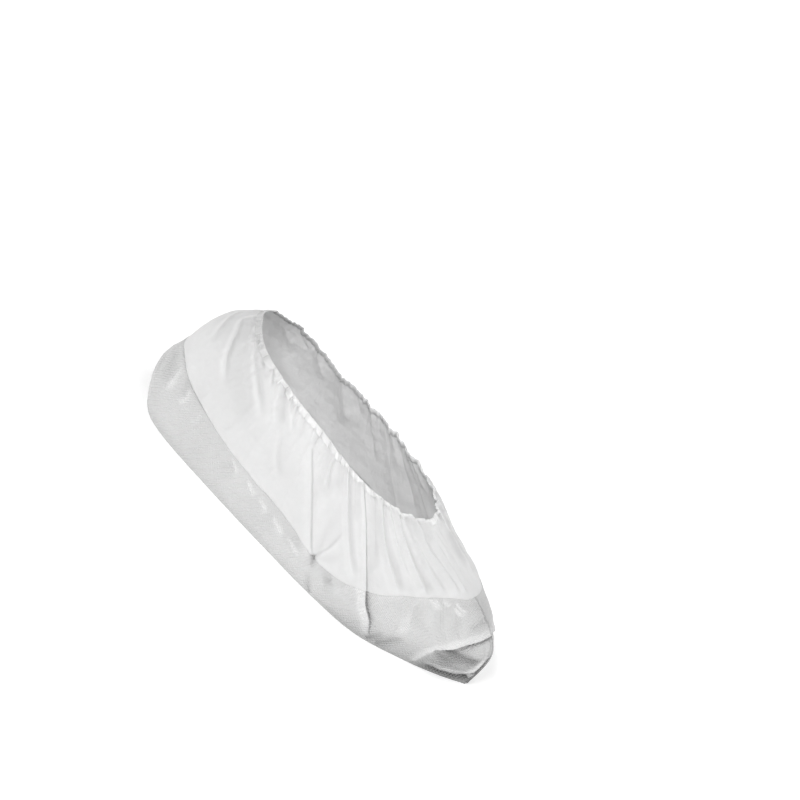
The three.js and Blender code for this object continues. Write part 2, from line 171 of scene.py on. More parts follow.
# The folds that the elastic pulls into the upper, from the heel to the toe on each side.
GATHER_CREASES = creases(
    NEAR,
    (((0.1, 5), (0.25, 4.61), (0.4, 4.38), (0.88, 4.05), (1.23, 3.66)), 1.9, 5, PLEAT, 0.05, 0.4),
    (((0.4, 5), (0.62, 4.6), (1.3, 4.4), (1.89, 4.06), (2.24, 3.76)), 2.4, 4.5, PLEAT, 0.05, 0.35),
    (((0.6, 5), (0.75, 4.78), (1.6, 4.58), (2.1, 4.33), (2.6, 4.0), (2.9, 3.6)), 2.4, 7.5, VALLEY),
    (((1.3, 5), (1.56, 4.92), (2.22, 4.6), (2.7, 4.3), (2.95, 4.0)), 2.3, 4.5, PLEAT, 0.05, 0.4),
    (((1.0, 5), (1.2, 4.86), (1.6, 4.76)), 1.1, 2.2, VALLEY),
    (((1.35, 5), (1.6, 4.82), (2.1, 4.7)), 1.3, 2.5, VALLEY),
    (((1.75, 5), (1.95, 4.85), (2.3, 4.72)), 1.2, 2.2, PLEAT),
    (((2.1, 5), (2.25, 4.8), (2.5, 4.66)), 1.5, 2.4, VALLEY),
    (((2.4, 5), (2.5, 4.84), (2.68, 4.66)), 1.2, 1.8, PLEAT),
    (((2.66, 5), (2.78, 4.74), (2.95, 4.5), (3.17, 4.26)), 1.7, 2.2, RIDGE),
    (((2.84, 5), (2.98, 4.78), (3.14, 4.56), (3.35, 4.35)), 2.1, 2.6, VALLEY),
    (((3.05, 5), (3.14, 4.84), (3.3, 4.66)), 1.2, 1.8, PLEAT),
    (((3.25, 5), (3.36, 4.7), (3.55, 4.4)), 1.4, 2.8, PLEAT),
    (((3.55, 5), (3.62, 4.7), (3.75, 4.45)), 1.1, 2.4, VALLEY),
    (((3.2, 4.6), (3.45, 4.2), (3.75, 3.5)), 1.1, 8, VALLEY, 0.25),
    (((4.12, 5), (4.07, 4.75), (4.02, 4.56)), 1.9, 2.4, VALLEY, 0, 0.35),
    (
        ((4.02, 4.62), (4.33, 4.11), (4.6, 3.55), (4.77, 3.06), (4.8, 2.86)),
        *(1.2, 7, TUCK, 0.08, 0.12, 0.2, 0.05),
    ),
    (((4.45, 5), (4.6, 4.64), (4.71, 4.39), (4.9, 4.15)), 1.9, 4.5, VALLEY),
    (((4.91, 5), (4.76, 4.73), (4.74, 4.49), (4.78, 4.2)), 1.6, 2.4, PLEAT, 0, 0.25),
    (((5.0, 5), (5.05, 4.7), (5.12, 4.4)), 1.4, 2.6, VALLEY),
    (((4.95, 4.4), (5.1, 4.0), (5.25, 3.3)), 1.1, 6, VALLEY, 0.25),
    (((5.15, 5), (5.2, 4.6), (5.32, 4.3)), 1.2, 2.6, VALLEY),
    (((5.38, 5), (5.42, 4.8), (5.51, 4.4), (5.62, 3.9), (5.74, 3.45), (5.86, 3.1)), 2.3, 4.2, PLEAT, 0, 0.2),
    (((5.62, 5), (5.68, 4.6), (5.76, 4.2)), 1.1, 2.2, VALLEY),
    (((5.85, 5), (5.92, 4.59), (5.97, 3.86), (6.0, 3.1)), 1.3, 3.4, RIDGE),
    (
        ((5.99, 5), (6.02, 4.8), (6.08, 4.29), (6.06, 3.39), (6.04, 2.2), (6.12, 0.81), (6.37, 0.1)),
        *(2.2, 6.5, TUCK, 0, 0.3, 0.1, 0.045),
    ),
    (((6.36, 5), (6.38, 4.7), (6.33, 4.17), (6.24, 3.5)), 2.0, 4.5, VALLEY),
    (((6.66, 5), (6.57, 4.45), (6.55, 4.04), (6.61, 3.58), (6.7, 3.0)), 3.3, 5, PLEAT, 0, 0.12),
    (((6.95, 5), (6.88, 4.6), (6.9, 3.9), (6.98, 3.3)), 1.7, 2.8, PLEAT, 0, 0.2),
    (((7.27, 5), (7.15, 4.53), (7.17, 4.2), (7.21, 3.76), (7.3, 3.0)), 3.8, 5.5, PLEAT, 0, 0.12),
    (((7.52, 5), (7.52, 4.6), (7.56, 4.2)), 1.2, 2.4, VALLEY),
    (((7.6, 4.5), (7.68, 3.8), (7.78, 3.1)), 1.8, 3.6, PLEAT, 0.15, 0.15),
    (((7.82, 5), (7.93, 4.55), (7.97, 4.16), (8.15, 3.75), (8.28, 3.05)), 3.6, 5.5, PLEAT, 0, 0.12),
    (((8.12, 5), (8.16, 4.6), (8.2, 4.3)), 1.1, 2.4, VALLEY),
    (((8.44, 5), (8.41, 4.41), (8.52, 3.86), (8.62, 3.1)), 3.2, 4.6, PLEAT, 0, 0.15),
    (((8.72, 5), (8.74, 4.5), (8.78, 3.9)), 1.4, 3.4, PLEAT),
) + creases(
    FAR,
    (((0.2, 5), (0.3, 4.6), (0.5, 4.1)), 1.2, 4.5, VALLEY),
    (((0.6, 5), (0.8, 4.5), (1.2, 3.9)), 1.5, 4.5, PLEAT),
    (((1.2, 5), (1.5, 4.6), (2.1, 4.1)), 1.8, 6, VALLEY),
    (((1.8, 5), (2.0, 4.75), (2.3, 4.55)), 1.3, 2.6, PLEAT),
    (((2.4, 5), (2.5, 4.7), (2.85, 4.3)), 1.6, 3.4, VALLEY),
    (((3.1, 5), (3.3, 4.5), (3.6, 3.8)), 1.8, 6, VALLEY),
    (((3.5, 5), (3.6, 4.7), (3.75, 4.4)), 1.2, 2.6, PLEAT),
    (((3.9, 5), (4.05, 4.4), (4.3, 3.6)), 2.0, 5, PLEAT),
    (((4.5, 5), (4.65, 4.3), (4.9, 3.5), (5.0, 2.85)), 2.0, 6, TUCK, 0, 0.1, 0.2),
    (((4.85, 5), (4.95, 4.6), (5.1, 4.2)), 1.4, 3, VALLEY),
    (((5.1, 5), (5.25, 4.4), (5.5, 3.5)), 2.2, 5, PLEAT),
    (((5.6, 5), (5.75, 4.3), (5.95, 3.3), (6.05, 2.3), (6.1, 1.3)), 2.5, 6, TUCK, 0, 0.2, 0.2),
    (((5.85, 5), (5.95, 4.6), (6.1, 4.2)), 1.4, 3, VALLEY),
    (((6.15, 5), (6.25, 4.4), (6.4, 3.4)), 2.3, 5, PLEAT),
    (((6.7, 5), (6.8, 4.4), (6.9, 3.3)), 2.7, 5.5, PLEAT),
    (((7.0, 5), (7.04, 4.6), (7.08, 4.3)), 1.3, 2.4, VALLEY),
    (((7.25, 5), (7.3, 4.4), (7.4, 3.2)), 2.6, 5.5, PLEAT),
    (((7.55, 5), (7.6, 4.6), (7.66, 4.2)), 1.2, 2.4, VALLEY),
    (((7.85, 5), (7.93, 4.4), (8.02, 3.4)), 2.4, 5, PLEAT),
    (((8.4, 5), (8.45, 4.4), (8.55, 3.5)), 2.1, 4.5, PLEAT),
    (((8.75, 5), (8.78, 4.4), (8.82, 3.9)), 1.3, 3.2, VALLEY),
)

# The tucks that gather the film under the toe, and the creases in its wall.
FILM_CREASES = creases(
    NEAR,
    (((9.0, 1.69), (8.56, 1.55), (8.06, 1.4), (7.54, 1.11), (7.28, 0.85)), 5.0, 5.5, TUCK, 0, 0.35, 0.0),
    (((7.55, 1.18), (7.8, 1.07), (8.11, 0.91), (8.53, 0.78), (8.87, 0.66)), 2.3, 3.0, VALLEY, 0.25, 0.2),
    (((9.0, 0.93), (8.89, 0.58), (8.49, 0.42), (7.9, 0.42), (7.3, 0.36)), 3.6, 4.5, TUCK, 0.02, 0.4, 0.0),
    (((9.0, 0.34), (8.6, 0.2), (8.0, 0.19), (7.3, 0.14)), 6.0, 3.6, VALLEY, 0, 0.45, 0.0),
    (((7.45, 0.98), (7.27, 0.9), (7.2, 0.45), (7.15, 0.1)), 1.5, 3, RIDGE, 0.1, 0.3, 0.0),
    (((7.35, 0.95), (7.7, 0.8), (8.1, 0.66)), 1.3, 2.4, VALLEY, 0.3, 0.4),
    (((7.05, 2.8), (7.0, 2.1), (6.95, 1.6)), 0.8, 4, VALLEY, 0.25, 0.4),
    (((6.92, 2.5), (6.75, 1.6), (6.55, 0.9)), 1.2, 3.4, RIDGE, 0.25, 0.4),
    (((7.35, 2.7), (7.3, 2.2), (7.1, 1.7)), 0.5, 3.4, RIDGE, 0.25, 0.4),
    (((6.4, 0.2), (6.6, 0.7), (6.8, 1.2)), 1.2, 3, VALLEY, 0.05, 0.5),
    (((6.2, 0.2), (6.35, 0.6), (6.35, 1.0)), 1.1, 2.6, VALLEY, 0.05, 0.5),
    (((5.3, 2.7), (5.15, 2.0), (4.95, 1.2)), 1.2, 5, VALLEY, 0.25, 0.4),
    (((5.6, 2.9), (5.5, 2.2), (5.2, 1.4)), 0.9, 3, RIDGE, 0.25, 0.4),
    (((4.8, 3.05), (4.79, 2.6), (4.72, 2.0), (4.66, 1.2)), 1.7, 3.0, VALLEY, 0.06, 0.75, 0.0),
    (((4.79, 2.88), (4.86, 3.16), (5.05, 3.75), (5.35, 4.26)), 1.3, 2.4, VALLEY, 0.03, 0.6),
    (((4.82, 2.95), (4.92, 3.16), (5.28, 3.6), (5.64, 4.03)), 1.1, 2.6, PLEAT, 0.05, 0.5),
    (((4.85, 3.0), (4.97, 3.16), (5.39, 3.45), (5.89, 3.74)), 1.0, 3.0, VALLEY, 0.1, 0.5),
    (((3.33, 4.29), (3.46, 3.91), (3.73, 3.51)), 1.0, 4.0, PLEAT, 0.2, 0.4),
    (((4.5, 2.9), (4.3, 2.3), (4.0, 1.6)), 0.6, 5, VALLEY, 0.25, 0.4),
    (((4.9, 0.15), (4.75, 0.7), (4.7, 1.2)), 1.1, 2.6, VALLEY, 0.05, 0.5),
    (((3.1, 2.8), (3.0, 2.1), (2.8, 1.4)), 0.5, 5, VALLEY, 0.25, 0.4),
    (((2.3, 2.9), (2.35, 2.3), (2.3, 1.6)), 0.8, 3.6, PLEAT, 0.25, 0.4),
    (((8.3, 2.7), (8.1, 2.1), (7.7, 1.8)), 0.6, 4, VALLEY, 0.25, 0.4),
    (((7.36, 3.0), (7.43, 2.85), (7.52, 2.6)), 1.3, 1.1, GLINT, 0.05, 0.4),
    (((7.5, 3.0), (7.56, 2.78), (7.66, 2.62)), 1.2, 1.0, GLINT, 0.05, 0.4),
    (((7.7, 2.95), (7.81, 2.84), (7.95, 2.8)), 1.1, 1.0, GLINT, 0.1, 0.4),
    (((8.02, 2.75), (8.12, 2.58), (8.3, 2.45)), 1.3, 1.2, GLINT, 0.1, 0.4),
    (((8.1, 2.9), (8.22, 2.7), (8.42, 2.6)), 1.1, 1.0, GLINT, 0.1, 0.4),
    (((2.95, 2.85), (3.08, 2.6), (3.15, 2.4)), 0.9, 1.2, GLINT, 0.2, 0.4),
    (((3.3, 2.8), (3.42, 2.4), (3.5, 2.0)), 1.1, 1.6, GLINT, 0.2, 0.4),
    (((3.55, 2.5), (3.68, 2.15), (3.74, 1.7)), 1.0, 1.5, GLINT, 0.2, 0.4),
    (((3.85, 2.2), (3.98, 1.9), (4.12, 1.6)), 1.1, 1.6, GLINT, 0.2, 0.4),
    (((4.2, 1.9), (4.34, 1.7), (4.5, 1.5)), 0.9, 1.3, GLINT, 0.2, 0.4),
    (((8.95, 2.3), (8.6, 2.1), (8.2, 1.95)), 1.1, 3, VALLEY, 0.1, 0.5),
    (((0.5, 2.7), (1.1, 2.1), (1.3, 1.5)), 0.9, 5, VALLEY, 0.3, 0.4),
    (((1.25, 2.95), (1.4, 2.4), (1.52, 1.6)), 1.0, 2.2, GLINT, 0.3, 0.4),
    (((1.85, 2.95), (1.95, 2.5), (1.9, 1.9)), 0.9, 1.8, GLINT, 0.3, 0.4),
    (((1.62, 3.0), (1.8, 2.6), (1.78, 2.1)), 0.9, 3.5, VALLEY, 0.2, 0.4),
    (((0.05, 2.2), (0.5, 1.7), (0.8, 1.1)), 0.8, 5, VALLEY, 0.3, 0.4),
) + creases(
    FAR,
    (((9.0, 1.69), (8.5, 1.58), (7.8, 1.4), (7.2, 1.1)), 2.6, 5.5, TUCK, 0.25, 0.35, 0.0),
    (((7.5, 1.2), (8.0, 0.98), (8.5, 0.82)), 2.8, 3.6, VALLEY, 0.3, 0.2),
    (((9.0, 0.93), (8.8, 0.58), (8.2, 0.42), (7.4, 0.4)), 3.2, 5, TUCK, 0.02, 0.4, 0.0),
    (((9.0, 0.3), (8.5, 0.17), (7.8, 0.15), (7.2, 0.12)), 3.2, 5, VALLEY, 0, 0.4, 0.0),
    (((6.9, 2.6), (6.8, 1.8), (6.6, 1.1)), 0.8, 4, VALLEY, 0.25, 0.4),
    (((7.4, 2.6), (7.2, 2.0), (7.0, 1.6)), 0.7, 3.6, VALLEY, 0.25, 0.4),
    (((5.05, 2.8), (4.95, 2.0), (4.8, 1.3)), 0.9, 4, VALLEY, 0.2, 0.4),
    (((3.6, 2.8), (3.5, 2.1), (3.3, 1.4)), 0.5, 5, VALLEY, 0.25, 0.4),
    (((2.0, 2.8), (2.0, 2.1), (1.9, 1.4)), 0.6, 4, TUCK, 0.25, 0.4),
    (((0.6, 2.6), (1.0, 2.0), (1.2, 1.4)), 1.3, 5, VALLEY, 0.3, 0.4),
)


# Stretches of stations where a sharp tuck needs the columns of a skin closer together, and how much closer.
CLOSE_COLUMNS = ((3.95, 4.9, 1.0), (5.92, 6.45, 1.8))


def smooth_step(low: float, high: float, value: np.ndarray) -> np.ndarray:
    """Rises smoothly from 0 at low to 1 at high."""
    t = np.clip((value - low) / (high - low), 0.0, 1.0)
    return t * t * (3.0 - 2.0 * t)


def lattice_noise(points: np.ndarray, cell: float, seed: int) -> np.ndarray:
    """Smooth noise between -1 and 1 on a lattice of random values.

    Args:
        points: array of points in millimetres, its last axis holding x, y, z.
        cell: size of one lattice cell in millimetres.
        seed: chooses the lattice.

    Returns:
        One value for each point.
    """
    values = np.random.default_rng(seed).uniform(-1.0, 1.0, LATTICE_VALUES)
    scaled = points / cell
    corner = np.floor(scaled).astype(np.int64)
    part = scaled - corner
    blend = part**3 * (part * (part * 6.0 - 15.0) + 10.0)
    total = np.zeros(points.shape[:-1])
    prime_x, prime_y, prime_z = LATTICE_PRIMES
    for dx in (0, 1):
        for dy in (0, 1):
            for dz in (0, 1):
                key = (
                    (corner[..., 0] + dx) * prime_x
                    ^ (corner[..., 1] + dy) * prime_y
                    ^ (corner[..., 2] + dz) * prime_z
                ) & (LATTICE_VALUES - 1)
                weight = (
                    (blend[..., 0] if dx else 1.0 - blend[..., 0])
                    * (blend[..., 1] if dy else 1.0 - blend[..., 1])
                    * (blend[..., 2] if dz else 1.0 - blend[..., 2])
                )
                total += weight * values[key]
    return total


def crumple_noise(points: np.ndarray, cell: float, seed: int) -> np.ndarray:
    """Noise with soft faces and sharper ridges between them, as crumpled sheet has."""
    coarse = 1.0 - np.abs(lattice_noise(points, cell, seed)) * 2.0
    fine = 1.0 - np.abs(lattice_noise(points, cell * 0.47, seed + 1)) * 2.0
    return 0.65 * coarse + 0.35 * fine


def unit(vectors: np.ndarray) -> np.ndarray:
    """The vectors of the last axis at length 1."""
    return vectors / (np.linalg.norm(vectors, axis=-1, keepdims=True) + 1e-12)


def hermite(a: np.ndarray, b: np.ndarray, c: np.ndarray, d: np.ndarray, t: np.ndarray) -> np.ndarray:
    """Catmull-Rom curve through four points, between the middle two."""
    t2 = t * t
    t3 = t2 * t
    tangent_b = (c - a) / 2.0
    tangent_c = (d - b) / 2.0
    return (
        (2 * t3 - 3 * t2 + 1) * b
        + (t3 - 2 * t2 + t) * tangent_b
        + (3 * t2 - 2 * t3) * c
        + (t3 - t2) * tangent_c
    )


@dataclass
class Form:
    """The smooth moulded form, in millimetres from the back of the heel and the floor."""

    length: float = 301.0
    sole_width: float = 105.0
    heel_height: float = 103.0
    instep_height: float = 75.0
    opening_setback: float = 41.0
    opening_length: float = 174.0
    opening_width: float = 71.0
    film_height: float = 54.5
    swell_height: float = 30.0
    swell_depth: float = 8.0
    bulge: float = 6.0
    pointed_rings: int = Ring.SWELL.value
    step: float = 0.02
    rings: list[np.ndarray] = field(init=False)

    def __post_init__(self) -> None:
        """Lays out the six rings from the stations."""
        table = np.array([[getattr(s, name) for name in Station.__dataclass_fields__] for s in STATIONS])
        column = dict(zip(Station.__dataclass_fields__, table.T))
        half = self.sole_width / 2.0
        sole = np.stack([column["sole_x"] * self.length, column["sole_y"] * half, 0.0 * column["sole_x"]], 1)
        outward = self._outward(sole)
        swell = sole + outward * (column["swell"] * self.swell_depth)[:, None]
        swell[:, 2] = column["swell_z"] * self.swell_height
        film = np.stack(
            [column["film_x"] * self.length, column["film_y"] * half, column["film_z"] * self.film_height], 1
        )
        rise = self.heel_height - self.instep_height
        rim = np.stack(
            [
                self.opening_setback + column["rim_x"] * self.opening_length,
                column["rim_y"] * self.opening_width / 2.0,
                self.instep_height + column["rim_z"] * rise,
            ],
            1,
        )
        cap = self._bowed(swell, film, outward, column["cap"])
        shoulder = self._bowed(film, rim, outward, column["shoulder"])
        self.rings = [sole, swell, cap, film, shoulder, rim]

    def _outward(self, sole: np.ndarray) -> np.ndarray:
        """Plan directions that point away from the sole at each station."""
        outward = np.zeros_like(sole)
        outward[0] = (-1.0, 0.0, 0.0)
        outward[-1] = (1.0, 0.0, 0.0)
        along = sole[2:] - sole[:-2]
        outward[1:-1] = unit(np.stack([-along[:, 1], along[:, 0], 0.0 * along[:, 0]], 1))
        return outward

    def _bowed(self, low: np.ndarray, high: np.ndarray, outward: np.ndarray, share: np.ndarray) -> np.ndarray:
        """The middles of chords, bowed out square to them by a share of the bulge."""
        chord = high - low
        along_chord = (outward * chord).sum(1) / (chord * chord).sum(1)
        square = unit(outward - chord * along_chord[:, None])
        return (low + high) / 2.0 + square * (share * self.bulge)[:, None]

    def _ring_point(self, ring: int, along: np.ndarray) -> np.ndarray:
        """Points of one ring on the far side, at stations along."""
        row = self.rings[ring]
        mirror = np.array([1.0, -1.0, 1.0])
        past_toe = 2 * row[-1] - row[-2] if ring <= self.pointed_rings else row[-2] * mirror
        padded = np.vstack([row[1] * mirror, row, past_toe])
        clamped = np.clip(along, 0.0, LAST)
        i = np.minimum(np.floor(clamped).astype(int), LAST - 1)
        t = (clamped - i)[..., None]
        return hermite(padded[i], padded[i + 1], padded[i + 2], padded[i + 3], t)

    def far_point(self, along: np.ndarray, height: np.ndarray) -> np.ndarray:
        """Points of the smooth form on the far side.

        Args:
            along: stations from the heel.
            height: rings from the floor, of the same shape.

        Returns:
            The points, with x, y, z in a last axis of their own.
        """
        rows = [self._ring_point(k, along) for k in range(len(Ring))]
        below = rows[0] * np.array([1.0, 0.8, 1.0])
        above = 2 * rows[-1] - rows[-2]
        stack = np.stack([below, *rows, above], 0)
        clamped = np.clip(height, 0.0, Ring.RIM.value)
        i = np.minimum(np.floor(clamped).astype(int), Ring.RIM.value - 1)
        t = (clamped - i)[..., None]
        picked = [np.take_along_axis(stack, (i + k)[None, ..., None], 0)[0] for k in range(4)]
        return hermite(*picked, t)

    def upward(self, along: np.ndarray, height: np.ndarray) -> np.ndarray:
        """Directions that lead up the form on the far side."""
        high = self.far_point(along, np.minimum(height + self.step, Ring.RIM.value))
        low = self.far_point(along, np.maximum(height - self.step, 0.0))
        return unit(high - low)

    def square(self, along: np.ndarray, height: np.ndarray) -> np.ndarray:
        """Directions square to the form on the far side, outward."""
        ahead = self.far_point(np.minimum(along + self.step, LAST), height)
        forward = ahead - self.far_point(np.maximum(along - self.step, 0.0), height)
        forward = np.where((along <= 0)[..., None], np.array([0.0, 1.0, 0.0]), forward)
        forward = np.where((along >= LAST)[..., None], np.array([0.0, -1.0, 0.0]), forward)
        return unit(np.cross(self.upward(along, height), forward))

    def point(self, along: np.ndarray, height: np.ndarray, side: np.ndarray) -> np.ndarray:
        """Points of the smooth form, each on its own side."""
        return self.sided(self.far_point(along, height), side)

    def laid(self, along: np.ndarray, height: np.ndarray, side: np.ndarray) -> tuple[np.ndarray, np.ndarray]:
        """Points of the smooth form and its outward directions, each on its own side."""
        return self.point(along, height, side), self.sided(self.square(along, height), side)

    def sided(self, points: np.ndarray, side: np.ndarray) -> np.ndarray:
        """Far-side points or directions moved to the side that each belongs to."""
        return points * np.stack([np.ones_like(side), side, np.ones_like(side)], -1)

    def height_below(self, ring: Ring, length: float, along: np.ndarray) -> np.ndarray:
        """Heights that lie a length in millimetres below a ring."""
        at = np.full_like(along, float(ring.value))
        return ring.value - length / np.linalg.norm(
            self.far_point(along, at) - self.far_point(along, at - 1.0), axis=-1
        )

    def to_frame(self, points: np.ndarray) -> np.ndarray:
        """Millimetres on the form as metres in the row frame."""
        return (points - np.array([self.length / 2.0, 0.0, 1.0])) * MM


@dataclass
class Gathers:
    """How far the cloth and film lie off the smooth form, in millimetres, and the light and shade painted on
    them.
    """

    form: Form
    ruffle_depth: float = 0.55
    ruffle_pitch: float = 4.2
    ruffle_reach: float = 7.0
    full_shade_depth: float = 2.6
    # Strengths of the painted shade and painted light laid over whole regions.
    heel_painted_shade: float = 0.8
    nose_painted_shade: float = 0.48
    tip_painted_shade: float = 0.8
    low_painted_shade: float = 0.31
    waist_painted_shade: float = 0.4
    lit_painted_light: float = 0.22

    def _across(self, crease: Crease, base: np.ndarray, square: np.ndarray) -> tuple[np.ndarray, np.ndarray]:
        """Distances across a crease, and how far along it each point lies.

        Args:
            crease: the fold line.
            base: points on the smooth form, one a row.
            square: the form's outward directions there.

        Returns:
            Signed distances in millimetres, and shares of the crease's length.
        """
        knots = np.array(crease.path)
        ends = np.vstack([2 * knots[0] - knots[1], knots, 2 * knots[-1] - knots[-2]])
        fine = []
        for i in range(len(knots) - 1):
            for t in np.linspace(0.0, 1.0, 6, endpoint=i == len(knots) - 2):
                fine.append(hermite(ends[i], ends[i + 1], ends[i + 2], ends[i + 3], t))
        fine = np.array(fine)
        side = np.full(len(fine), float(crease.side.value))
        line = self.form.point(fine[:, 0], fine[:, 1], side)
        lengths = np.linalg.norm(line[1:] - line[:-1], axis=1)
        starts = np.concatenate([[0.0], np.cumsum(lengths)])
        best = np.full(len(base), 1e9)
        signed = np.zeros(len(base))
        share = np.zeros(len(base))
        for i, length in enumerate(lengths):
            run = (line[i + 1] - line[i]) / max(length, 1e-9)
            local = base - line[i]
            t = np.clip(local @ run, 0.0, length)
            rest = local - t[:, None] * run
            distance = np.linalg.norm(rest, axis=1)
            nearer = distance < best
            best[nearer] = distance[nearer]
            across = np.cross(square[nearer], run)
            signed[nearer] = np.sign((across * rest[nearer]).sum(1) + 1e-12) * distance[nearer]
            share[nearer] = (starts[i] + t[nearer]) / starts[-1]
        return signed * -crease.side.value, share

    def _profile(self, crease: Crease, t: np.ndarray) -> np.ndarray:
        """Height across a crease of depth and width 1, positive outward."""
        shape = crease.shape
        if shape in (RIDGE, GLINT):
            return np.exp(-np.abs(t) ** 1.3 * 1.6)
        if shape is VALLEY:
            valley = -np.exp(-np.abs(t) ** 1.3 * 1.5)
            return valley + 0.28 * np.exp(-(((np.abs(t) - 1.5) / 0.7) ** 2))
        if shape is PLEAT:
            past = np.maximum(t, 0.0)
            crest = 0.65 * np.exp(np.minimum(t, 0.0) * 1.1)
            fall = np.exp(-past * 4.4)
            return crest * fall - 0.85 * (1.0 - fall) * np.exp(-past * 0.9)
        lip = 0.5 * np.exp(-np.abs(np.minimum(t, 0.0)) * 1.1)
        hollow = -0.85 * np.exp(-np.maximum(t, 0.0) * 1.9)
        step = smooth_step(-crease.edge, crease.edge, t)
        return lip * (1.0 - step) + hollow * step

    def _painted_crease_shading(self, crease: Crease, distance: np.ndarray, width: np.ndarray) -> np.ndarray:
        """Painted light and shade across a crease: a painted highlight on its crest, positive, and painted
        shade in its hollow, negative.
        """
        t = distance / width
        shape = crease.shape
        # Ridges get a painted highlight on their crests, and glint ridges a much stronger one.
        if shape in (RIDGE, GLINT):
            return (0.8 if shape is RIDGE else 3.0) * np.exp(-((t * 1.4) ** 2))
        if shape is VALLEY:
            return -0.75 * np.exp(-((t * 1.2) ** 2))
        if shape is PLEAT:
            return 0.85 * np.exp(-(((t + 0.4) / 0.36) ** 2)) - 0.85 * np.exp(-(((t - 0.26) / 0.3) ** 2))
        line = -1.7 * np.exp(-((distance / np.maximum(crease.edge * width * 1.25, 0.42)) ** 2))
        crest = 0.8 * np.exp(-(((t + 0.42) / 0.4) ** 2))
        return line + crest - 0.5 * np.exp(-np.maximum(t, 0.0) * 2.2) * (distance > 0)

    def _creased(self, creases: tuple[Crease, ...], base: np.ndarray, square: np.ndarray) -> np.ndarray:
        """What a set of creases adds at points on the form.

        Args:
            creases: the fold lines.
            base: points on the smooth form, one a row.
            square: the form's outward directions there.

        Returns:
            A row of moves in millimetres and a row of painted light and shade.
        """
        total = np.zeros((2, len(base)))
        for crease in creases:
            knots = np.array(crease.path)
            side = np.full(len(knots), float(crease.side.value))
            line = self.form.point(knots[:, 0], knots[:, 1], side)
            reach = crease.width * (1.0 + crease.flare) * 4.0
            low, high = line.min(0) - reach, line.max(0) + reach
            within = ((base > low) & (base < high)).all(1)
            if not within.any():
                continue
            distance, share = self._across(crease, base[within], square[within])
            width = crease.width * (1.0 + crease.flare * share)
            fade = smooth_step(-0.001, max(crease.fade_in, 0.001), share)
            fade *= 1.0 - smooth_step(1.0 - crease.fade_out, 1.001, share)
            beyond = 1.0 - smooth_step(3.0, 4.0, np.abs(distance) / width)
            wander = 1.0 + 0.22 * lattice_noise(base[within], 9.0, 31)
            lift = crease.depth * wander * fade * beyond
            total[0, within] += lift * self._profile(crease, distance / width)
            # Each crease lays painted shade in its hollow and a painted highlight on its crest.
            weight = min(crease.depth / self.full_shade_depth, 1.0) ** 1.5 * fade * beyond
            total[1, within] += weight * self._painted_crease_shading(crease, distance, width)
        return total

    def _ruffled(self, base: np.ndarray, along: np.ndarray, side: np.ndarray) -> np.ndarray:
        """The small puckers of the elastic, which merge into broader ones further down."""
        rim = self.form.point(along, np.full_like(along, RIM_HEIGHT), side)
        down = np.linalg.norm(base - rim, axis=1)
        around = np.interp(along, *self.rim_lengths()) * side
        total = np.zeros(len(base))
        front = 0.45 + 0.55 * smooth_step(3.2, 5.4, along)
        front = front * self.taut(along, side)
        for pitch, reach, depth, seed in (
            (self.ruffle_pitch, self.ruffle_reach, self.ruffle_depth * (0.4 + 0.6 * front), 3),
            (self.ruffle_pitch * 2.1, self.ruffle_reach * 2.2, self.ruffle_depth * 0.9 * front, 5),
            (self.ruffle_pitch * 4.3, self.ruffle_reach * 4.5, self.ruffle_depth * 1.1 * front, 7),
        ):
            drift = lattice_noise(rim, pitch * 3.0, seed) * 2.6
            swell = np.clip(0.6 + 0.75 * lattice_noise(rim, pitch * 2.5, seed + 20), 0.1, 1.2)
            wave = np.sin(2 * math.pi * around / pitch + drift)
            pinched = wave - 0.35 * (1.0 - np.abs(wave)) ** 2
            total += depth * swell * np.exp(-((down / reach) ** 1.3)) * pinched
        return total

    def taut(self, along: np.ndarray, side: np.ndarray) -> np.ndarray:
        """The share of the puckers that stays where the near side's rim is pulled taut by the heel."""
        return 1.0 - 0.6 * (side < 0) * smooth_step(0.0, 1.0, along) * (1.0 - smooth_step(5.0, 7.0, along))

    def rim_lengths(self) -> tuple[np.ndarray, np.ndarray]:
        """Stations, and the length of the rim from the heel to each of them."""
        stations = np.linspace(0.0, LAST, RIM_SAMPLES)
        rim = self.form.far_point(stations, np.full_like(stations, RIM_HEIGHT))
        steps = np.linalg.norm(rim[1:] - rim[:-1], axis=1)
        return stations, np.concatenate([[0.0], np.cumsum(steps)])

    def _painted_light_and_shade(self, along: np.ndarray, height: np.ndarray) -> np.ndarray:
        """How much painted shade lies on the heel, on a band above the film, low on the film and under the
        toe, less painted light on the front.
        """
        heel = 1.0 - smooth_step(1.4, 3.8, along)
        cloth = heel * (0.6 * smooth_step(2.9, 3.1, height) + 0.4 * smooth_step(3.2, 4.7, height))
        waist = smooth_step(1.2, 2.4, along) * (1.0 - smooth_step(4.0, 5.0, along))
        waist *= smooth_step(2.95, 3.1, height) * (1.0 - smooth_step(3.6, 4.3, height))
        lit = smooth_step(4.8, 6.2, along) * smooth_step(3.3, 4.5, height)
        ridge = np.interp(along, (7.28, 7.54, 8.06, 8.56, 9.0), (0.85, 1.11, 1.4, 1.55, 1.69))
        under_nose = smooth_step(7.0, 7.9, along) * smooth_step(0.0, 0.3, ridge - height)
        under_nose *= 1.0 - smooth_step(7.7, 8.6, along) * smooth_step(0.4, 0.7, height)
        tip = smooth_step(7.0, 8.6, along) * (1.0 - smooth_step(0.25, 0.6, height))
        low = smooth_step(4.4, 6.2, along) * (1.0 - smooth_step(0.1, 1.6, height))
        low += 0.28 * smooth_step(4.9, 5.6, along) * (1.0 - smooth_step(2.7, 3.0, height))
        low += 0.5 * smooth_step(0.5, 1.4, along) * (1.0 - smooth_step(0.1, 0.7, height))
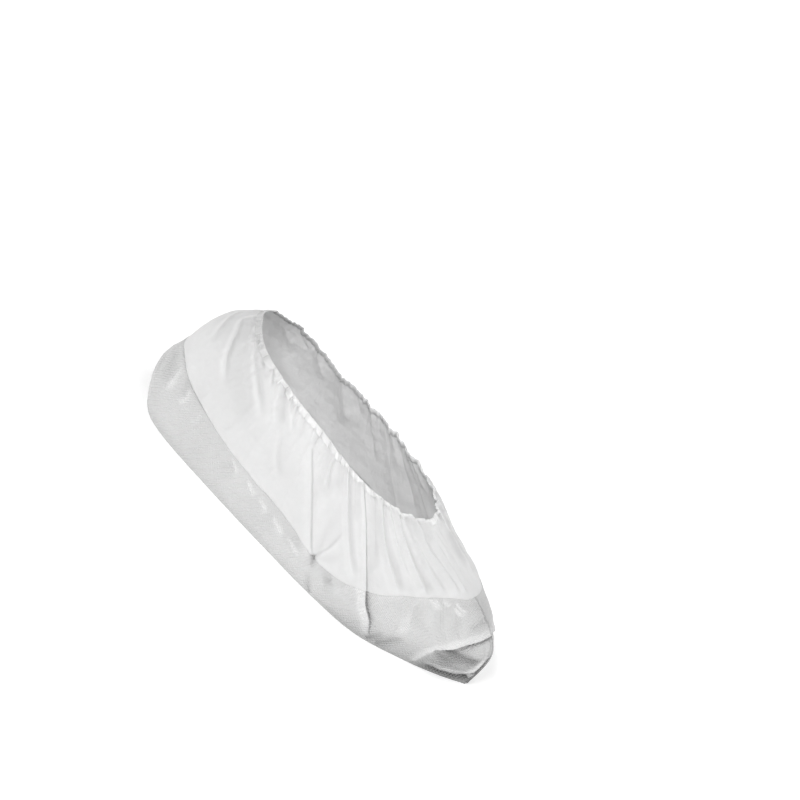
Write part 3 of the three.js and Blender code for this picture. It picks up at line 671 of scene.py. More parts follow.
        # Painted shade on the heel, the band above the film, the toe and the low film; painted light on the
        # lit patch.
        worn = self.heel_painted_shade * cloth + self.waist_painted_shade * waist - self.lit_painted_light * lit
        return worn + self.nose_painted_shade * under_nose + self.tip_painted_shade * tip + self.low_painted_shade * low

    def moved(self, along: np.ndarray, height: np.ndarray, side: np.ndarray) -> tuple[np.ndarray, np.ndarray]:
        """Moves square to the form at every point of a grid, and the painted light and shade on the cloth or
        film there.

        Args:
            along: stations from the heel.
            height: rings from the floor.
            side: -1 near or 1 far.

        Returns:
            Millimetres outward, and painted shading from -1 for the darkest painted shade to 1 for the
            brightest painted light, both in the grid's shape.
        """
        shape = along.shape
        flat_along, flat_height, flat_side = along.ravel(), height.ravel(), side.ravel()
        base, square = self.form.laid(flat_along, flat_height, flat_side)
        total, tone = self._creased(GATHER_CREASES, base, square) + self._creased(FILM_CREASES, base, square)
        ruffles = self._ruffled(base, flat_along, flat_side)
        total += ruffles
        # Painted shade in the hollows of the puckers.
        tone += np.minimum(ruffles, 0.0) * 0.14
        # Painted light and shade over whole regions, on top of that of the creases.
        tone -= self._painted_light_and_shade(flat_along, flat_height)
        cloth = smooth_step(2.7, 3.3, flat_height)
        film = (1.0 - cloth) * smooth_step(0.02, 0.5, flat_height)
        round_rim = np.interp(flat_along, *self.rim_lengths())
        hanging = np.stack([round_rim * 1.25, flat_height * 9.0, flat_side * 60.0], -1)
        total += cloth * (1.0 * crumple_noise(hanging, 17.0, 23) + 0.35 * crumple_noise(hanging, 7.0, 29))
        total += cloth * (0.8 * crumple_noise(base, 34.0, 11) + 0.3 * crumple_noise(base, 11.0, 13))
        total += cloth * 0.16 * crumple_noise(base, 5.5, 37)
        total += film * (0.5 * crumple_noise(base, 22.0, 17) + 0.22 * crumple_noise(base, 8.0, 19))
        centre = np.minimum(flat_along, LAST - flat_along)
        toe_weld = np.where(flat_along > LAST / 2, smooth_step(0.0, 0.12, centre), 1.0)
        total *= toe_weld * smooth_step(0.0, 0.25, flat_height)
        return total.reshape(shape), np.clip(tone, -1.0, 1.0).reshape(shape)

    def on_columns(self, loops: "Loops", height: np.ndarray) -> tuple[np.ndarray, ...]:
        """Points of the smooth form on a skin's columns, outward directions, moves and painted shading."""
        along = np.broadcast_to(loops.along, height.shape)
        side = np.broadcast_to(loops.side, height.shape)
        return *self.form.laid(along, height, side), *self.moved(along, height, side)


def even_stations(form: Form, ring: Ring, count: int) -> np.ndarray:
    """Stations from heel to toe, evenly spaced by length along a ring, and closer at the two sharp tucks."""
    stations = np.linspace(0.0, LAST, RING_SAMPLES)
    points = form.far_point(stations, np.full_like(stations, float(ring.value)))
    steps = np.linalg.norm(points[1:] - points[:-1], axis=1)
    middles = (stations[1:] + stations[:-1]) / 2.0
    for start, end, extra in CLOSE_COLUMNS:
        entered = smooth_step(start - 0.1, start, middles)
        steps *= 1.0 + extra * entered * (1.0 - smooth_step(end, end + 0.1, middles))
    lengths = np.concatenate([[0.0], np.cumsum(steps)])
    return np.interp(np.linspace(0.0, lengths[-1], count + 1), lengths, stations)


@dataclass
class Loops:
    """The columns of a skin: the near side from heel to toe, then the far side back."""

    along: np.ndarray
    side: np.ndarray

    @classmethod
    def even(cls, form: Form, ring: Ring, a_side: int) -> "Loops":
        """Columns evenly spaced along a ring, a_side of them on each side."""
        stations = even_stations(form, ring, a_side)
        along = np.concatenate([stations, stations[-2:0:-1]])
        side = np.concatenate([-np.ones(a_side + 1), np.ones(a_side - 1)])
        return cls(along, side)

    @property
    def count(self) -> int:
        """Number of columns."""
        return len(self.along)


class MeshMaker:
    """Collects grids of points and faces into one mesh object."""

    def __init__(self, name: str) -> None:
        """Starts an empty mesh for the piece called name."""
        self.name = name
        self.points: list[np.ndarray] = []
        self.uvs: list[np.ndarray] = []
        self.painted_shades: list[np.ndarray] = []
        self.quads: list[np.ndarray] = []
        self.triangles: list[np.ndarray] = []
        self.count = 0

    def add_grid(self, points: np.ndarray, uvs: np.ndarray, painted_shades: np.ndarray | float = 0.0) -> np.ndarray:
        """Adds a grid of points and returns their numbers in the same layout."""
        rows, columns = points.shape[:2]
        self.painted_shades.append(np.broadcast_to(painted_shades, (rows, columns)).ravel())
        numbers = np.arange(rows * columns).reshape(rows, columns) + self.count
        self.points.append(points.reshape(-1, 3))
        self.uvs.append(uvs.reshape(-1, 2))
        self.count += rows * columns
        return numbers

    def add_quads(self, numbers: np.ndarray, round_columns: bool, flip: bool = False) -> None:
        """Joins neighbouring rows and columns of a grid of point numbers with quads."""
        right = np.roll(numbers, -1, axis=1) if round_columns else numbers[:, 1:]
        left = numbers if round_columns else numbers[:, :-1]
        quads = np.stack([left[:-1], right[:-1], right[1:], left[1:]], -1).reshape(-1, 4)
        self.quads.append(quads[:, ::-1] if flip else quads)

    def add_fan(self, tip: int, edge: np.ndarray, flip: bool = False) -> None:
        """Joins a line of point numbers to one more point with triangles."""
        fan = np.stack([np.full(len(edge) - 1, tip), edge[:-1], edge[1:]], 1)
        self.triangles.append(fan[:, ::-1] if flip else fan)

    def add_skin(
        self, outer: np.ndarray, inner: np.ndarray, painted_shades: np.ndarray
    ) -> tuple[np.ndarray, np.ndarray]:
        """Adds both faces of a skin, joined along the upper edge, and returns their point numbers."""
        uvs = laid_flat(outer)
        outside = self.add_grid(outer, uvs, painted_shades)
        inside = self.add_grid(inner, uvs)
        self.add_quads(outside, True)
        self.add_quads(inside, True, flip=True)
        self.add_quads(np.stack([outside[-1], inside[-1]]), True)
        return outside, inside

    def finish(self, form: Form) -> bpy.types.Object:
        """Makes the object, in metres in the row frame."""
        points = form.to_frame(np.concatenate(self.points))
        uvs = np.concatenate(self.uvs)
        quads = np.concatenate(self.quads)
        triangles = np.concatenate(self.triangles) if self.triangles else np.zeros((0, 3), dtype=int)
        corners = np.concatenate([quads.ravel(), triangles.ravel()])
        starts = np.concatenate([np.arange(len(quads)) * 4, quads.size + np.arange(len(triangles)) * 3])
        mesh = bpy.data.meshes.new(self.name)
        mesh.vertices.add(len(points))
        mesh.vertices.foreach_set("co", points.ravel())
        mesh.loops.add(len(corners))
        mesh.loops.foreach_set("vertex_index", corners)
        mesh.polygons.add(len(starts))
        mesh.polygons.foreach_set("loop_start", starts)
        mesh.polygons.foreach_set("use_smooth", np.ones(len(starts), dtype=bool))
        layer = mesh.uv_layers.new(name="laid_flat")
        layer.data.foreach_set("uv", uvs[corners].ravel())
        # The painted light and shade is stored as a point attribute, which the finishes read.
        painted_shading_layer = mesh.attributes.new(name=PAINTED_SHADING, type="FLOAT", domain="POINT")
        painted_shading_layer.data.foreach_set("value", np.concatenate(self.painted_shades))
        mesh.update(calc_edges=True)
        mesh.validate()
        mesh.set_sharp_from_angle(angle=SHARP_ANGLE)
        made = bpy.data.objects.new(self.name, mesh)
        bpy.context.scene.collection.objects.link(made)
        return made


def laid_flat(points: np.ndarray) -> np.ndarray:
    """Texture coordinates of a grid in centimetres: lengths round its bottom row and up its columns."""
    steps_round = np.linalg.norm(np.diff(points[0], axis=0), axis=1)
    round_lengths = np.concatenate([[0.0], np.cumsum(steps_round)])
    steps_up = np.linalg.norm(np.diff(points, axis=0), axis=2)
    up_lengths = np.vstack([np.zeros(points.shape[1]), np.cumsum(steps_up, axis=0)])
    return np.stack([np.broadcast_to(round_lengths, up_lengths.shape), up_lengths], -1) / 10.0


class NodeBuilder:
    """Short calls for making shader nodes in a material or a node group."""

    def __init__(self, tree: bpy.types.NodeTree) -> None:
        """Works on the node tree."""
        self.tree = tree

    def add(self, kind: str, **values: object) -> bpy.types.Node:
        """Makes a node, setting attributes by name."""
        node = self.tree.nodes.new(kind)
        for name, value in values.items():
            setattr(node, name, value)
        return node

    def link(self, source: bpy.types.NodeSocket, target: bpy.types.NodeSocket) -> None:
        """Joins an output to an input."""
        self.tree.links.new(source, target)

    def put(self, value: object, target: bpy.types.NodeSocket) -> None:
        """Gives an input a number, or joins a socket to it."""
        if isinstance(value, (int, float)):
            target.default_value = value
        else:
            self.link(value, target)

    def math(self, operation: str, *operands: object) -> bpy.types.NodeSocket:
        """Makes a Math node. Each operand is a number or a socket."""
        node = self.add("ShaderNodeMath", operation=operation)
        for socket, operand in zip(node.inputs, operands):
            self.put(operand, socket)
        return node.outputs[0]

    def noise(self, **values: object) -> bpy.types.NodeSocket:
        """Makes a Noise Texture from numbers or sockets by name, and returns its value socket."""
        node = self.add("ShaderNodeTexNoise")
        for name, value in values.items():
            self.put(value, node.inputs[name])
        return node.outputs["Fac"]

    def span(
        self, value: bpy.types.NodeSocket, low: float, high: float, to_low: float, to_high: float
    ) -> bpy.types.NodeSocket:
        """Maps a range of values onto another with a Map Range node."""
        node = self.add("ShaderNodeMapRange")
        node.inputs["From Min"].default_value = low
        node.inputs["From Max"].default_value = high
        node.inputs["To Min"].default_value = to_low
        node.inputs["To Max"].default_value = to_high
        self.link(value, node.inputs["Value"])
        return node.outputs["Result"]


class SharedEffect(Enum):
    """Surface effects that more than one material uses, each a node group."""

    CLOUDY_WEB = "cloudy_web"
    POINT_BONDS = "point_bonds"
    WAFFLE = "waffle_emboss"
    SOFT_CRUMPLE = "soft_crumple"


class EffectLibrary:
    """Builds each shared effect once."""

    def __init__(self) -> None:
        """Builds every group."""
        self.groups = {
            SharedEffect.CLOUDY_WEB: self._cloudy_web(),
            SharedEffect.POINT_BONDS: self._point_bonds(),
            SharedEffect.WAFFLE: self._waffle(),
            SharedEffect.SOFT_CRUMPLE: self._soft_crumple(),
        }

    def _group(
        self, effect: SharedEffect, inputs: dict[str, float], output: str
    ) -> tuple[NodeBuilder, bpy.types.Node, bpy.types.Node]:
        """Starts a group with number inputs, a Vector input and one value output."""
        tree = bpy.data.node_groups.new(effect.value, "ShaderNodeTree")
        tree.interface.new_socket("Vector", in_out="INPUT", socket_type="NodeSocketVector")
        for name, value in inputs.items():
            socket = tree.interface.new_socket(name, in_out="INPUT", socket_type="NodeSocketFloat")
            socket.default_value = value
        tree.interface.new_socket(output, in_out="OUTPUT", socket_type="NodeSocketFloat")
        build = NodeBuilder(tree)
        return build, build.add("NodeGroupInput"), build.add("NodeGroupOutput")

    def _diagonals(self, build: NodeBuilder, given: bpy.types.Node) -> tuple[object, object]:
        """The two diagonals of the laid-flat place, counted in the group's Pitch."""
        scaled = build.add("ShaderNodeVectorMath", operation="SCALE")
        build.link(given.outputs["Vector"], scaled.inputs[0])
        build.link(build.math("DIVIDE", 10.0, given.outputs["Pitch"]), scaled.inputs["Scale"])
        split = build.add("ShaderNodeSeparateXYZ")
        build.link(scaled.outputs["Vector"], split.inputs[0])
        x, y = split.outputs["X"], split.outputs["Y"]
        return build.math("ADD", x, y), build.math("SUBTRACT", x, y)

    def _cloudy_web(self) -> bpy.types.NodeTree:
        """Uneven fibre density of a spun web: broad clouds with finer streaks in them."""
        build, given, result = self._group(SharedEffect.CLOUDY_WEB, {"Cloud Size": 12.0}, "Density")
        place = given.outputs["Vector"]
        size = build.math("DIVIDE", 1.0, given.outputs["Cloud Size"])
        scale = build.math("MULTIPLY", size, 1000.0)
        clouds = build.noise(Vector=place, Scale=scale, Detail=5.0, Roughness=0.6)
        streaks = build.noise(Vector=place, Scale=900.0, Detail=3.0)
        mixed = build.math("ADD", build.math("MULTIPLY", clouds, 0.7), build.math("MULTIPLY", streaks, 0.3))
        build.link(mixed, result.inputs["Density"])
        return build.tree

    def _point_bonds(self) -> bpy.types.NodeTree:
        """The staggered field of small pressed dots that bonds a spun web."""
        build, given, result = self._group(SharedEffect.POINT_BONDS, {"Pitch": 1.1}, "Height")
        across, along = self._diagonals(build, given)
        dots = build.math(
            "MULTIPLY",
            build.math("SINE", build.math("MULTIPLY", across, math.pi)),
            build.math("SINE", build.math("MULTIPLY", along, math.pi)),
        )
        pressed = build.math("POWER", build.math("ABSOLUTE", dots), 3.0)
        build.link(build.math("SUBTRACT", 1.0, pressed), result.inputs["Height"])
        return build.tree

    def _waffle(self) -> bpy.types.NodeTree:
        """The crossed ribs that are rolled into soft film."""
        build, given, result = self._group(SharedEffect.WAFFLE, {"Pitch": 1.3, "Rib Share": 0.5}, "Height")
        rising, falling = self._diagonals(build, given)
        rising_ribs = build.math("SINE", build.math("MULTIPLY", rising, math.sqrt(2.0) * math.pi))
        falling_ribs = build.math("SINE", build.math("MULTIPLY", falling, math.sqrt(2.0) * math.pi))
        share = given.outputs["Rib Share"]
        rising_share = build.math("MULTIPLY", rising_ribs, build.math("SUBTRACT", 1.0, share))
        falling_share = build.math("MULTIPLY", falling_ribs, share)
        build.link(build.math("ADD", rising_share, falling_share), result.inputs["Height"])
        return build.tree

    def _soft_crumple(self) -> bpy.types.NodeTree:
        """Fine crumples left by packing and handling."""
        build, given, result = self._group(SharedEffect.SOFT_CRUMPLE, {"Size": 9.0}, "Height")
        scale = build.math("DIVIDE", 1000.0, given.outputs["Size"])
        coarse = build.noise(Vector=given.outputs["Vector"], Scale=scale, Detail=3.0, Distortion=0.4)
        ridged = build.math("ABSOLUTE", build.math("SUBTRACT", coarse, 0.5))
        build.link(build.math("SUBTRACT", 1.0, build.math("MULTIPLY", ridged, 3.0)), result.inputs["Height"])
        return build.tree


class Coordinates(Enum):
    """Where a texture takes its place from."""

    OBJECT = "Object"
    LAID_FLAT = "UV"


@dataclass
class FinishBuilder:
    """Makes one material around a Principled BSDF and the shared effects."""

    name: str
    effects: EffectLibrary
    material: bpy.types.Material = field(init=False)
    build: NodeBuilder = field(init=False)
    shader: bpy.types.Node = field(init=False)
    places: bpy.types.Node = field(init=False)

    def __post_init__(self) -> None:
        """Starts the material with an empty tree, a shader and its output."""
        self.material = bpy.data.materials.new(self.name)
        self.material.use_nodes = True
        self.material.node_tree.nodes.clear()
        self.build = NodeBuilder(self.material.node_tree)
        self.shader = self.build.add("ShaderNodeBsdfPrincipled")
        output = self.build.add("ShaderNodeOutputMaterial")
        self.build.link(self.shader.outputs["BSDF"], output.inputs["Surface"])
        self.places = self.build.add("ShaderNodeTexCoord")

    def effect(self, effect: SharedEffect, coordinates: Coordinates, **values: float) -> bpy.types.NodeSocket:
        """Places a shared effect and returns its output.

        Args:
            effect: which effect.
            coordinates: where it takes its place from.
            **values: its inputs, with an underscore for each space in their names.

        Returns:
            The effect's only output socket.
        """
        node = self.build.add("ShaderNodeGroup", node_tree=self.effects.groups[effect])
        self.build.link(self.places.outputs[coordinates.value], node.inputs["Vector"])
        for name, value in values.items():
            node.inputs[name.replace("_", " ")].default_value = value
        return node.outputs[0]

    def colour(self, factor: object, low: Triple, high: Triple) -> object:
        """A colour between two, chosen by a factor."""
        mix = self.build.add("ShaderNodeMix", data_type="RGBA")
        self.build.link(factor, mix.inputs["Factor"])
        mix.inputs["A"].default_value = (*low, 1.0)
        mix.inputs["B"].default_value = (*high, 1.0)
        return mix.outputs["Result"]

    def towards(self, colour: object, target: Triple, factor: object) -> bpy.types.NodeSocket:
        """Turns a colour towards another by a factor."""
        mix = self.build.add("ShaderNodeMix", data_type="RGBA")
        self.build.link(factor, mix.inputs["Factor"])
        self.build.link(colour, mix.inputs["A"])
        mix.inputs["B"].default_value = (*target, 1.0)
        return mix.outputs["Result"]

    def tone(self) -> bpy.types.NodeSocket:
        """The painted light and shade that the creases and gathers leave in the mesh."""
        return self.build.add("ShaderNodeAttribute", attribute_name=PAINTED_SHADING).outputs["Fac"]

    def with_painted_shade(self, colour: object, hollow: Triple) -> bpy.types.NodeSocket:
        """Turns a colour towards the painted shade colour where the mesh's painted shading is low."""
        return self.towards(colour, hollow, self.build.span(self.tone(), -1.0, 0.25, 1.0, 0.0))

    def clouded(self, clouds: object, looks: object) -> bpy.types.NodeSocket:
        """The base colour that every finish starts from: its deep and pale colours over clouds, turned
        towards its hollow colour as painted shade.
        """
        density = self.build.span(clouds, 0.35, 0.65, 0.0, 1.0)
        return self.with_painted_shade(self.colour(density, looks.deep, looks.pale), looks.hollow)

    def relief(self, layers: list[tuple[object, float, float]]) -> None:
        """Chains bumps into the shader's normal. Each layer is a height, its strength and its depth in mm."""
        normal = None
        for height, strength, depth in layers:
            bump = self.build.add("ShaderNodeBump")
            bump.inputs["Strength"].default_value = strength
            bump.inputs["Distance"].default_value = depth * MM
            self.build.link(height, bump.inputs["Height"])
            if normal is not None:
                self.build.link(normal, bump.inputs["Normal"])
            normal = bump.outputs["Normal"]
        self.build.link(normal, self.shader.inputs["Normal"])


@dataclass(frozen=True)
class NonWovenFinish:
    """White spun web laminated to a thin film: matt, faintly cloudy, with pressed bonding dots."""

    name: str = "white_non_woven"
    pale: Triple = (0.92, 0.92, 0.92)
    deep: Triple = (0.87, 0.87, 0.87)
    # hollow is the colour of painted shade, laid where the painted shading in the mesh is low.
    hollow: Triple = (0.68, 0.68, 0.68)
    roughness: float = 0.72
    cloud_size: float = 16.0
    glow: float = 0.75
    bond_pitch: float = 1.1
    bond_depth: float = 0.035
    crumple_depth: float = 0.5

    def make(self, effects: EffectLibrary) -> bpy.types.Material:
        """Builds the material."""
        finish = FinishBuilder(self.name, effects)
        clouds = finish.effect(SharedEffect.CLOUDY_WEB, Coordinates.OBJECT, Cloud_Size=self.cloud_size)
        bonds = finish.effect(SharedEffect.POINT_BONDS, Coordinates.LAID_FLAT, Pitch=self.bond_pitch)
        crumple = finish.effect(SharedEffect.SOFT_CRUMPLE, Coordinates.OBJECT, Size=10.0)
        colour = finish.clouded(clouds, self)
        finish.build.link(colour, finish.shader.inputs["Base Color"])
        finish.build.link(
            finish.build.span(clouds, 0.3, 0.7, self.roughness + 0.08, self.roughness - 0.06),
            finish.shader.inputs["Roughness"],
        )
        finish.shader.inputs["Specular IOR Level"].default_value = 0.3
        finish.shader.inputs["Sheen Weight"].default_value = 0.12
        finish.shader.inputs["Sheen Roughness"].default_value = 0.5
        finish.shader.inputs["Subsurface Weight"].default_value = self.glow
        finish.shader.inputs["Subsurface Radius"].default_value = (1.0, 1.0, 1.0)
        finish.shader.inputs["Subsurface Scale"].default_value = 0.002
        finish.relief([(crumple, 0.5, self.crumple_depth), (bonds, 0.5, self.bond_depth)])
        return finish.material


@dataclass(frozen=True)
class FilmFinish:
    """Soft embossed film: grey-white, with a sheen that the fine ribs break up."""

    name: str = "embossed_film"
    pale: Triple = (0.725, 0.725, 0.725)
    deep: Triple = (0.655, 0.655, 0.655)
    # hollow is the colour of painted shade, laid where the painted shading in the mesh is low.
    hollow: Triple = (0.3, 0.3, 0.3)
    roughness: float = 0.33
    pitch: float = 1.7
    rib_depth: float = 0.3
    crest_polish: float = 0.2
    # glint is the colour of the painted highlights on the glint ridges and the strongest crests.
    glint: Triple = (0.96, 0.96, 0.96)
    glint_share: float = 0.8
    groove_shade_share: float = 0.5
    gathered_ribs: float = 2.8

    def make(self, effects: EffectLibrary) -> bpy.types.Material:
        """Builds the material."""
        finish = FinishBuilder(self.name, effects)
        clouds = finish.effect(SharedEffect.CLOUDY_WEB, Coordinates.OBJECT, Cloud_Size=28.0)
        ribs = finish.effect(SharedEffect.WAFFLE, Coordinates.LAID_FLAT, Pitch=self.pitch, Rib_Share=0.6)
        crumple = finish.effect(SharedEffect.SOFT_CRUMPLE, Coordinates.OBJECT, Size=7.0)
        colour = finish.clouded(clouds, self)
        tone = finish.tone()
        # Painted shade: the rib grooves are turned towards the hollow colour where the painted shading is
        # deep.
        pressed = finish.build.span(ribs, -0.6, 0.1, 1.0, 0.0)
        painted_groove_shade = finish.build.span(tone, -0.6, -0.2, self.groove_shade_share, 0.0)
        colour = finish.towards(colour, self.hollow, finish.build.math("MULTIPLY", pressed, painted_groove_shade))
        # Painted highlights: raised ribs are turned towards the glint colour where the painted shading is
        # highest.
        raised = finish.build.span(ribs, 0.0, 0.5, 0.0, 1.0)
        painted_glint = finish.build.span(tone, 0.6, 0.95, 0.0, self.glint_share)
        colour = finish.towards(colour, self.glint, finish.build.math("MULTIPLY", raised, painted_glint))
        finish.build.link(colour, finish.shader.inputs["Base Color"])
        cloudy = finish.build.span(clouds, 0.3, 0.7, self.roughness - 0.05, self.roughness + 0.07)
        crests = finish.build.span(tone, 0.1, 0.4, 0.0, self.crest_polish)
        finish.build.link(finish.build.math("SUBTRACT", cloudy, crests), finish.shader.inputs["Roughness"])
        finish.shader.inputs["Specular IOR Level"].default_value = 0.6
        gathered = finish.build.span(tone, -0.75, -0.2, self.gathered_ribs, 1.0)
        drawn = finish.build.math("MULTIPLY", ribs, gathered)
        finish.relief([(crumple, 0.45, 0.55), (drawn, 0.75, self.rib_depth)])
        return finish.material


@dataclass(frozen=True)
class WeldFinish:
    """Film pressed together by heat: greyer and a little glossier than the film beside it."""

    name: str = "welded_film"
    pale: Triple = (0.68, 0.68, 0.68)
    deep: Triple = (0.56, 0.56, 0.56)
    # hollow is the colour of painted shade, laid where the painted shading in the mesh is low.
    hollow: Triple = (0.16, 0.16, 0.16)

    def make(self, effects: EffectLibrary) -> bpy.types.Material:
        """Builds the material."""
        finish = FinishBuilder(self.name, effects)
        clouds = finish.effect(SharedEffect.CLOUDY_WEB, Coordinates.OBJECT, Cloud_Size=6.0)
        crumple = finish.effect(SharedEffect.SOFT_CRUMPLE, Coordinates.OBJECT, Size=3.0)
        colour = finish.clouded(clouds, self)
        finish.build.link(colour, finish.shader.inputs["Base Color"])
        finish.shader.inputs["Roughness"].default_value = 0.4
        finish.relief([(crumple, 0.5, 0.3)])
        return finish.material


@dataclass
class Upper:
    """The white upper: an open tube of cloth from behind the film to just under the elastic edge."""

    form: Form
    gathers: Gathers
    offset: float = 0.22
    thickness: float = 0.35
    lap: float = 8.0
    edge_height: float = 5.2
    columns: int = 520
    rows: int = 96
    cut: tuple[float, float] = (0.72, 0.085)
    cut_area: float = 0.045

    def build(self) -> bpy.types.Object:
        """Lays both faces of the cloth on the form."""
        loops = Loops.even(self.form, Ring.FILM, self.columns)
        low = self.form.height_below(Ring.FILM, self.lap, loops.along)
        high = self.form.height_below(Ring.RIM, self.edge_height * 0.5, loops.along)
        share = np.linspace(0.0, 1.0, self.rows)[:, None]
        height = low + (high - low) * share
        base, square, moved, painted_shades = self.gathers.on_columns(loops, height)
        outer = base + square * (moved - self.offset)[..., None]
        inner = base + square * (moved - self.offset - self.thickness)[..., None]
        maker = MeshMaker("cloth_upper")
        outside, inside = maker.add_skin(outer, inner, painted_shades)
        maker.add_quads(np.stack([inside[0], outside[0]]), True)
        return maker.finish(self.form)

    def dress(self, piece: bpy.types.Object, finish: bpy.types.Material) -> None:
        """Gives the upper its finish and its place in the frame."""
        piece.data.materials.append(finish)
        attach(piece, BODY)
        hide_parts("upper")


@dataclass
class SoleFilm:
    """The film cup: a flat sole with a low wall round it, outside the cloth."""

    form: Form
    gathers: Gathers
    thickness: float = 0.15
    columns: int = 520
    rows: int = 92
    floor_rows: int = 24
    edge_wobble: float = 0.035
    cut: tuple[float, float] = (0.195, 0.4)
    cut_area: float = 0.055

    def build(self) -> bpy.types.Object:
        """Lays both faces of the wall on the form, and closes the sole from side to side."""
        loops = Loops.even(self.form, Ring.FILM, self.columns)
        edge = self.form.point(loops.along, np.full(loops.count, float(Ring.FILM.value)), loops.side)
        top = Ring.FILM.value + self.edge_wobble * lattice_noise(edge, 13.0, 61)
        height = top * np.linspace(0.0, 1.0, self.rows)[:, None]
        base, square, moved, painted_shades = self.gathers.on_columns(loops, height)
        outer = base + square * moved[..., None]
        inner = base + square * (moved - self.thickness)[..., None]
        outer[..., 2] = np.maximum(outer[..., 2], 0.0)
        inner[..., 2] = np.maximum(inner[..., 2], self.thickness)
        inner[0, :, 2] = self.thickness
        maker = MeshMaker("film_cup")
        outside, inside = maker.add_skin(outer, inner, painted_shades)
        self._floor(maker, outer[0], outside[0], flip=True)
        self._floor(maker, inner[0], inside[0], flip=False)
        return maker.finish(self.form)

    def _floor(self, maker: MeshMaker, edge: np.ndarray, numbers: np.ndarray, flip: bool) -> None:
        """Fills a loop from its near side to its far side with strips, fanned at heel and toe."""
        half = len(edge) // 2
        near = np.arange(1, half)
        far = len(edge) - near
        share = np.linspace(0.0, 1.0, self.floor_rows + 1)[1:-1, None, None]
        between = edge[near] * (1 - share) + edge[far] * share
        uvs = between[..., :2] / 10.0
        filled = maker.add_grid(between, uvs)
        grid = np.vstack([numbers[near], filled, numbers[far]])
        maker.add_quads(grid, False, flip=flip)
        maker.add_fan(numbers[0], grid[::-1, 0], flip=flip)
        maker.add_fan(numbers[half], grid[:, -1], flip=flip)

    def dress(self, piece: bpy.types.Object, finish: bpy.types.Material) -> None:
        """Gives the film its finish and its place in the frame."""
        piece.data.materials.append(finish)
        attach(piece, BODY)
        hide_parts("sole_film")


@dataclass
class ElasticEdge:
    """The casing round the foot opening, rolled over its elastic and drawn into small beads."""

    form: Form
    gathers: Gathers
    height: float = 5.2
    thickness: float = 1.3
    bead_pitch: float = 3.6
    pinch_painted_shade: float = 0.5
    columns: int = 620
    section: int = 16

    def build(self) -> bpy.types.Object:
        """Sweeps an oval section along the gathered rim."""
        loops = Loops.even(self.form, Ring.RIM, self.columns)
        rim_height = np.full(loops.count, RIM_HEIGHT)
        base, square, moved, painted_shades = self.gathers.on_columns(loops, rim_height)
        upward = self.form.sided(self.form.upward(loops.along, rim_height), loops.side)
        around = np.interp(loops.along, *self.gathers.rim_lengths()) * loops.side
        drift = lattice_noise(base, 11.0, 41) * 3.2
        wave = np.abs(np.sin(math.pi * around / self.bead_pitch + drift))
        pinch = np.clip(0.2 + 0.28 * lattice_noise(base, 9.0, 43), 0.02, 0.38)
        pinch *= self.gathers.taut(loops.along, loops.side)
        full = 1.0 - pinch * (1.0 - wave) ** 1.6
        middle = base + square * (moved - 0.4)[:, None] - upward * (self.height / 2.0)
        rows = []
        for k in range(self.section):
            turn = 2 * math.pi * k / self.section
            up = math.cos(turn) * self.height / 2.0
            out = math.sin(turn) * self.thickness / 2.0
            squeeze = 1.0 - (1.0 - full) * (0.45 if up > 0 else 0.2)
            rows.append(middle + upward * (up * squeeze)[:, None] + square * (out * full)[:, None])
        grid = np.array(rows)
        maker = MeshMaker("gathered_edge")
        # Painted shade in the pinches between the beads.
        numbers = maker.add_grid(grid, laid_flat(grid), painted_shades + (full - 1.0) * self.pinch_painted_shade)
        maker.add_quads(np.vstack([numbers, numbers[:1]]), True, flip=True)
        return maker.finish(self.form)

    def dress(self, piece: bpy.types.Object, finish: bpy.types.Material) -> None:
        """Gives the edge its finish and its place in the frame."""
        piece.data.materials.append(finish)
        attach(piece, BODY)
        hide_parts("elastic_edge")


@dataclass
class ToeSeam:
    """The weld that closes the film at the toe."""

    form: Form
    thickness: float = 0.7
    depth: float = 0.8
    knot: float = 0.9
    steps: int = 90
    section: int = 10

    def build(self) -> bpy.types.Object:
        """Runs a thin rounded fin up the toe."""
        height = np.linspace(0.1, Ring.FILM.value, self.steps)
        along = np.full(self.steps, float(LAST))
        root = self.form.far_point(along, height)
        square = self.form.square(along, height)
        foot = np.exp(-((height / 0.35) ** 2))
        half = self.thickness / 2.0 + self.knot * foot
        sway = 0.25 * lattice_noise(root, 4.0, 51)
        proud = self.depth * (0.4 + 0.6 * np.exp(-((height / 1.6) ** 4)))
        rows = []
        for k in range(self.section):
            turn = 2 * math.pi * k / self.section
            out = (math.cos(turn) + 1.0) / 2.0 * proud + 0.05
            across = np.sin(turn) * half + sway * (math.cos(turn) + 1.0) / 2.0
            point = root + square * out[:, None]
            point[:, 1] = across
            point[:, 2] = np.maximum(point[:, 2], 0.0)
            rows.append(point)
        grid = np.array(rows).transpose(1, 0, 2)
        maker = MeshMaker("toe_weld")
        # Painted shade, deepening towards the floor where the weld runs under the toe.
        numbers = maker.add_grid(grid, laid_flat(grid), (smooth_step(0.3, 1.3, height) - 1.0)[:, None])
        maker.add_quads(numbers, True)
        for row, flip in ((numbers[0], True), (numbers[-1], False)):
            half_count = self.section // 2
            strip = np.stack([row[:half_count], row[::-1][:half_count]])
            maker.add_quads(strip, False, flip=flip)
        return maker.finish(self.form)

    def dress(self, piece: bpy.types.Object, finish: bpy.types.Material) -> None:
        """Gives the weld its finish and its place in the frame."""
        piece.data.materials.append(finish)
        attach(piece, BODY)
        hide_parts("toe_seam")


